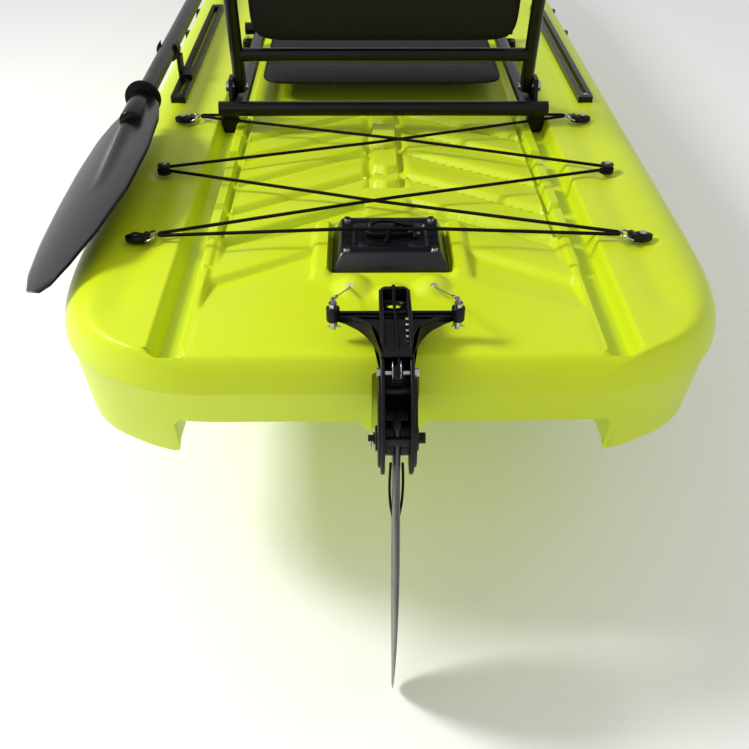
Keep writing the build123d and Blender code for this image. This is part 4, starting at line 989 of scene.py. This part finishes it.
# ---- cover plate -------------------------------------------------------------------
@dataclass
class CoverPlate:
    """The black pyramid plate in the rear deck, with its strap and cleat."""

    hull: Hull
    row: float = 265.0
    base: float = 248.5
    top: float = 278.0

    def make(self) -> None:
        """Build the plate and what sits on it."""
        y = self.hull.datum + self.row
        # half width, half length, shift along y and height, from the rim to the sunk top
        sizes = ((81.0, 57.0, -7.0, self.base), (80.0, 56.0, -7.0, self.base + 7),
                 (69.0, 52.0, 0.0, self.top - 2.0), (67.0, 50.5, 0.0, self.top),
                 (52.0, 33.0, 0.0, self.top), (50.5, 31.5, 0.0, self.top - 1.2),
                 (49.0, 30.0, 0.0, self.top - 4.5))
        corner = 6.0
        rings = []
        for half_x, half_y, shift, z in sizes:
            ring = []
            for turn in range(20):
                quarter = turn // 5
                angle = math.pi / 2 * quarter + math.pi / 2 * (turn % 5) / 4
                sx = 1 if quarter in (0, 3) else -1
                sy = 1 if quarter in (0, 1) else -1
                ring.append(((sx * (half_x - corner) + corner * math.cos(angle)) * MM,
                             (y + shift + sy * (half_y - corner) + corner * math.sin(angle)) * MM,
                             z * MM))
            rings.append(ring)
        plate = loft("cover_plate", rings)
        modify(plate, "BEVEL", width=0.0009, segments=2, limit_method="ANGLE",
               angle_limit=math.radians(25))
        place(dress(smooth(plate, 35), COVER_PLASTIC), "hull_body", Slot.NYLON, "rear_plate")
        self.cleat(y)

    def cleat(self, y: float) -> None:
        """Add the cleat: a hooked bar, a strap loop and two bright pins."""
        level = (self.top - 4.5) * MM
        parts = []
        body = [(-36, 8), (-30, 13), (10, 13), (30, 10), (34, 4), (30, -3), (4, -6), (-22, -8), (-34, -2)]
        parts.append(slab("cleat_base", [(px * MM, (y + 4 + py) * MM) for px, py in body],
                          level, level + 0.0085, 0.002))
        hook = [(-26, 4, 8), (-30, 10, 14), (-18, 16, 18), (0, 14, 20), (14, 8, 19), (24, 6, 16),
                (32, 10, 14)]
        strap = [(-8, -18, 1.6), (-4, -8, 4), (0, 2, 11), (8, 10, 15), (20, 14, 12), (30, 8, 6),
                 (36, -4, 1.8)]
        for name, line, radius in (("cleat_hook", hook, 0.0032), ("cleat_strap", strap, 0.0028)):
            path = [(px * MM, (y + py) * MM, level + pz * MM) for px, py, pz in line]
            parts.append(tube_along(name, path, radius))
        parts.append(disc((0.021, (y + 9) * MM, level + 0.011), (0.2, 0, 1), 0.0085, 0.006, 0.0018, 28))
        near, far = (y - 24) * MM, (y - 8) * MM
        parts.append(slab("label_frame", [(-0.030, near), (-0.004, near), (-0.004, far), (-0.030, far)],
                          level, level + 0.0022, 0.0008))
        place(dress(join(parts, "cleat_and_strap"), NYLON), "hull_body", Slot.NYLON, "plate_cleat")
        pins = [disc((-0.026, (y + 4) * MM, level + 0.0115), (0, 0.3, 1), 0.0042, 0.006, 0.0012, 24),
                disc((0.028, (y + 2) * MM, level + 0.0105), (0.2, 0, 1), 0.0036, 0.006, 0.0012, 24)]
        for px, py in ((-22, -30), (-10, -31), (40, 10)):
            pins.append(disc((px * MM, (y + py) * MM, level + 0.0012), (0, 0, 1), 0.0028, 0.0024, 0.0008, 20))
        place(dress(join(pins, "cleat_pins"), STEEL), "hull_body", Slot.STEEL)


# ---- paddle ------------------------------------------------------------------------
@dataclass
class Paddle:
    """The stowed paddle's two spooned blades; the shaft and its rings stay as they are."""

    axis_x: float = -0.406
    axis_z: float = 0.330
    tips: tuple = (-1.500, 0.800)
    length: float = 0.492
    tilt: float = 31.0

    def blade(self, name: str, node: str, tip: float, forward: float) -> None:
        """Build one blade as a curved shell with a rib that fades into it.

        Args:
            name: The piece's name.
            node: The CAD node that it stands for.
            tip: The y of the blade's tip.
            forward: 1 for the blade towards the stern, -1 for the other one.
        """
        rows, columns = 40, 25
        # share of the blade's length against its width on each side of the shaft's line
        lower = ((0, 22), (0.04, 56), (0.12, 80), (0.28, 94), (0.48, 99), (0.68, 98), (0.85, 86),
                 (0.95, 66), (1, 34))
        upper = ((0, 18), (0.06, 34), (0.14, 52), (0.28, 68), (0.48, 74), (0.68, 66), (0.85, 40),
                 (0.95, 10), (1, -14))
        tilt = math.radians(self.tilt)
        outward = Vector((-math.cos(tilt), 0, -math.sin(tilt)))
        face = Vector((-math.sin(tilt), 0, math.cos(tilt)))
        points = []
        for r in range(rows):
            part = r / (rows - 1)
            low = np.interp(part, *zip(*lower))
            high = np.interp(part, *zip(*upper))
            for c in range(columns):
                across = -high + (low + high) * c / (columns - 1)
                spread = across / 110.0
                rib = 13.0 * math.exp(-(across / 12.0) ** 2) * max(1 - part * 1.7, 0) ** 0.8
                bow = -10.0 * spread ** 2 - 16.0 * part ** 2 + rib
                spot = Vector((self.axis_x, tip + forward * (1 - part) * self.length, self.axis_z))
                spot += outward * (across * MM) + face * (bow * MM)
                spot += Vector((-0.028, 0, -0.034)) * part ** 1.3
                points.append(spot)
        shell = from_mesh(name, points, grid_faces(rows, columns))
        modify(shell, "SOLIDIFY", thickness=0.004, offset=0.0)
        modify(shell, "BEVEL", width=0.0012, segments=2, limit_method="ANGLE",
               angle_limit=math.radians(60))
        neck_spot = (self.axis_x, tip + forward * (self.length - 0.045), self.axis_z)
        neck = disc(neck_spot, (0, 1, 0), 0.0185, 0.10, 0.004)
        blade = join([shell, neck], name)
        place(dress(smooth(blade, 45), GLOSSY_PLASTIC), "paddle", Slot.NYLON, node)

    def make(self) -> None:
        """Build both blades."""
        self.blade("aft_paddle_blade", "paddle_blade_aft", self.tips[0], 1.0)
        self.blade("fore_paddle_blade", "paddle_blade_fore", self.tips[1], -1.0)


# ---- deck fittings -----------------------------------------------------------------
@dataclass
class Anchors:
    """The four pad eyes with their rings that hold the bungee."""

    hull: Hull
    x: float = 0.350
    rows: tuple = (264.0, 693.0)

    def make(self) -> None:
        """Build the pad eyes and the rings."""
        eyes, rings = [], []
        for side in (-1, 1):
            for row in self.rows:
                y = (self.hull.datum + row) * MM
                outline = []
                for step in range(24):
                    turn = 2 * math.pi * step / 24
                    waist = 1 - 0.12 * math.sin(turn) ** 2
                    outline.append((side * self.x + 0.0175 * math.cos(turn) * waist,
                                    y + 0.0095 * math.sin(turn)))
                deck = self.hull.deck * MM
                eyes.append(slab("pad_eye", outline, deck - 0.0015, deck + 0.0090, 0.0030))
                eyes.append(disc((side * (self.x - 0.012), y, 0.276), (0, 1, 0), 0.0052, 0.017, 0.0015, 28))
                eyes.append(disc((side * (self.x + 0.003), y, 0.2797), (0, 0, 1), 0.0070, 0.0016, 0.0006, 28))
                near, far = self.x - 0.012, self.x - 0.026
                path = [(near, 0.0, 5.0), (near, 11.0, 5.0), (near - 0.003, 13.0, 6.0),
                        (far + 0.004, 12.0, 9.0), (far, 5.0, 10.2), (far, -5.0, 10.2),
                        (far + 0.004, -12.0, 9.0), (near - 0.003, -13.0, 6.0), (near, -11.0, 5.0),
                        (near, -0.5, 5.0)]
                path = [(side * px, y + py * MM, 0.270 + pz * MM) for px, py, pz in path]
                rings.append(tube_along("ring", path, 0.0016, closed=True))
        place(dress(join(eyes, "pad_eye_bodies"), NYLON), "hull_body", Slot.NYLON, "pad_eyes")
        place(dress(join(rings, "anchor_d_rings"), STEEL), "hull_body", Slot.STEEL, "anchor_rings")


# ---- seat --------------------------------------------------------------------------
@dataclass
class Seat:
    """The seat's padded fabric pan and back, with piped edges and sewn channels."""

    hull: Hull
    half: float = 222.0
    pan_rows: tuple = (805.0, 1110.0)
    pan_z: float = 300.0
    hinge: tuple = (-928.0, 326.0)
    lean: float = 12.0
    back_reach: tuple = (80.0, 418.0)

    def cushion(self, name: str, width: float, length: float, thick: float,
                channels: int) -> bpy.types.Object:
        """Build a crowned closed pad round the origin, in its own x, y and z.

        Args:
            name: The piece's name.
            width: Size in x, in millimetres.
            length: Size in y.
            thick: Thickness at its crown.
            channels: Number of sewn channels across it.

        Returns:
            The pad.
        """
        columns, rows = 64, 48
        points = []
        for face in (1, -1):
            for r in range(rows):
                for c in range(columns):
                    u = -1 + 2 * c / (columns - 1)
                    v = -1 + 2 * r / (rows - 1)
                    pull = 1 - 0.012 * (1 - v * v) * (abs(u) > 0.999)
                    x = u * width / 2 * (1 - 0.10 * max(abs(v) - 0.86, 0) ** 1.2 * 6) * pull
                    y = v * length / 2 * (1 - 0.10 * max(abs(u) - 0.90, 0) ** 1.2 * 6)
                    crown = (1 - u ** 8) ** 0.5 * (1 - v ** 8) ** 0.5
                    seam = abs(math.sin(math.pi * channels * (v + 1) / 2)) ** 0.35
                    sewn = (1 - max(abs(u), abs(v))) * 12 >= 1
                    height = crown * thick / 2 * (0.72 + 0.28 * (seam if sewn else 1))
                    points.append((x * MM, y * MM, face * height * MM))
        faces = grid_faces(rows, columns) + grid_faces(rows, columns, rows * columns)
        return smooth(from_mesh(name, points, faces), 70)

    def piping(self, name: str, width: float, length: float) -> bpy.types.Object:
        """Return the cord sewn round a pad's edge."""
        half_x, half_y = width / 2 - 2, length / 2 - 2
        path = []
        for step in range(64):
            turn = 2 * math.pi * step / 64
            cx, sy = math.cos(turn), math.sin(turn)
            path.append((half_x * MM * math.copysign(abs(cx) ** 0.16, cx),
                         half_y * MM * math.copysign(abs(sy) ** 0.16, sy), 0.0))
        return tube_along(name, path, 0.0032, closed=True, resolution=3)

    def lay(self, pieces: Iterable[bpy.types.Object], matrix: Matrix) -> None:
        """Put pieces in place by a matrix that goes into their meshes."""
        for piece in pieces:
            piece.data.transform(matrix)
            piece.data.update()

    def make(self) -> None:
        """Build the pan and the back."""
        low, high = self.pan_rows
        length = high - low
        pan = self.cushion("seat_pan_fabric", 2 * self.half, length, 24.0, 4)
        edge = self.piping("seat_pan_piping", 2 * self.half, length)
        middle = (self.hull.datum + (low + high) / 2) * MM
        self.lay((pan, edge), Matrix.Translation((0, middle, self.pan_z * MM)))
        back_low, back_high = self.back_reach
        back = self.cushion("seat_back_fabric", 2 * self.half, back_high - back_low, 24.0, 5)
        trim = self.piping("seat_back_piping", 2 * self.half, back_high - back_low)
        tilt = Matrix.Rotation(math.radians(90 + self.lean), 4, "X")
        reach = (back_low + back_high) / 2
        lean = math.radians(self.lean)
        spot = Vector((0, self.hinge[0] - reach * math.sin(lean) + 13 * math.cos(lean),
                       self.hinge[1] + reach * math.cos(lean) + 13 * math.sin(lean))) * MM
        self.lay((back, trim), Matrix.Translation(spot) @ tilt)
        for piece in (pan, edge, back, trim):
            dress(piece, SEAT_MESH)
        place(pan, "hull_body", Slot.FABRIC, "seat_pan")
        place(edge, "hull_body", Slot.FABRIC)
        place(back, "seat_back", Slot.FABRIC, "seat_back_pad")
        place(trim, "seat_back", Slot.FABRIC)


# ---- studio ------------------------------------------------------------------------
@dataclass
class Studio:
    """Pale floor, soft lights and the camera behind and above the stern."""

    camera_side: float = -0.0385
    camera_back: float = 0.845
    camera_height: float = 0.6168
    pitch: float = 37.576
    yaw: float = -0.933
    roll: float = 0.29
    lens: float = 43.26
    floor_drop: float = 0.012

    def make(self) -> None:
        """Add the floor, the lights, the world and the camera."""
        self.floor()
        self.lights()
        self.camera()

    def floor(self) -> None:
        """Add the pale floor just below the lowest point."""
        deselect()
        level = CAD_BOX[0][2] - self.floor_drop
        bpy.ops.mesh.primitive_plane_add(size=60.0, location=(0, 0, level))
        floor = dress(settle(bpy.context.object, "studio_floor"), FLOOR)

    def lights(self) -> None:
        """Add a key from the upper left, a broad fill and a white world."""
        world = bpy.data.worlds.new("studio_world")
        bpy.context.scene.world = world
        world.use_nodes = True
        back = world.node_tree.nodes["Background"]
        back.inputs["Color"].default_value = (1.0, 1.0, 1.0, 1.0)
        back.inputs["Strength"].default_value = 0.62
        self.area("key", (-2.5, -1.3, 2.5), 0.8, 92.0, (0.0, -1.3, 0.25))
        self.area("fill", (-1.4, -4.4, 2.4), 2.0, 8.0, (0.0, -1.3, 0.2))
        bpy.context.scene.view_settings.view_transform = "Standard"

    def area(self, name: str, spot: Sequence[float], size: float, power: float,
             target: Sequence[float]) -> None:
        """Add one square light aimed at a point."""
        light = bpy.data.lights.new(name, "AREA")
        light.energy = power
        light.size = size
        lamp = bpy.data.objects.new(name, light)
        lamp.location = spot
        aim = Vector(target) - Vector(spot)
        lamp.rotation_euler = aim.to_track_quat("-Z", "Y").to_euler()
        bpy.context.scene.collection.objects.link(lamp)

    def camera(self) -> None:
        """Add the camera."""
        lens = bpy.data.cameras.new("camera")
        lens.lens = self.lens
        lens.sensor_width = 36.0
        lens.clip_start = 0.02
        view = bpy.data.objects.new("camera", lens)
        hull = Hull()
        view.location = (self.camera_side, hull.datum * MM - self.camera_back,
                         hull.deck * MM + self.camera_height)
        base = Matrix.Rotation(math.radians(self.yaw), 4, "Z")
        tilt = Matrix.Rotation(math.radians(90 - self.pitch), 4, "X")
        spin = Matrix.Rotation(math.radians(self.roll), 4, "Z")
        view.rotation_euler = (base @ tilt @ spin).to_euler()
        bpy.context.scene.collection.objects.link(view)
        bpy.context.scene.camera = view


# ---- carried-over CAD nodes ---------------------------------------------------------
CAD_FINISHES: dict[str, Finish] = {
    "anchor_screws": STEEL, "plate_bolts": STEEL, "head_bolt": STEEL, "steering_pin": STEEL,
    "cable_exits": STEEL, "arm_pins": STEEL, "split_ring": STEEL, "seat_hinge_bolts": STEEL,
    "track_screws": STEEL, "hatch_hinge_pin": STEEL, "latch_pins": STEEL, "anchor_rings": STEEL,
    "steering_cable_port": STEEL, "steering_cable_starboard": STEEL,
    "bungee_cord": BRAID, "blade_cord": BRAID, "lift_rope": BRAID,
    "seat_base_frame": ANODISED, "seat_back_frame": ANODISED, "gear_tracks": ANODISED,
    "foot_rails": ANODISED, "paddle_shaft": ANODISED, "rudder_blade": BLADE_METAL,
    "drip_rings": RUBBER, "hatch_seal": RUBBER, "seat_pan": SEAT_MESH, "seat_back_pad": SEAT_MESH,
    "paddle_blade_aft": GLOSSY_PLASTIC, "paddle_blade_fore": GLOSSY_PLASTIC,
}


def dress_cad_nodes() -> None:
    """Give every CAD node that stays its own finish."""
    for name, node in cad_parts.items():
        dress(node, CAD_FINISHES.get(name, NYLON))


def main() -> None:
    """Build the classes in order and finish the scene."""
    logging.basicConfig(level=logging.INFO, format="%(name)s: %(message)s")
    dress_cad_nodes()
    Studio().make()
    hull = Hull()
    hull.make()
    Rudder(hull).make()
    CoverPlate(hull).make()
    Paddle().make()
    Anchors(hull).make()
    Seat(hull).make()


if __name__ == "__main__":
    main()
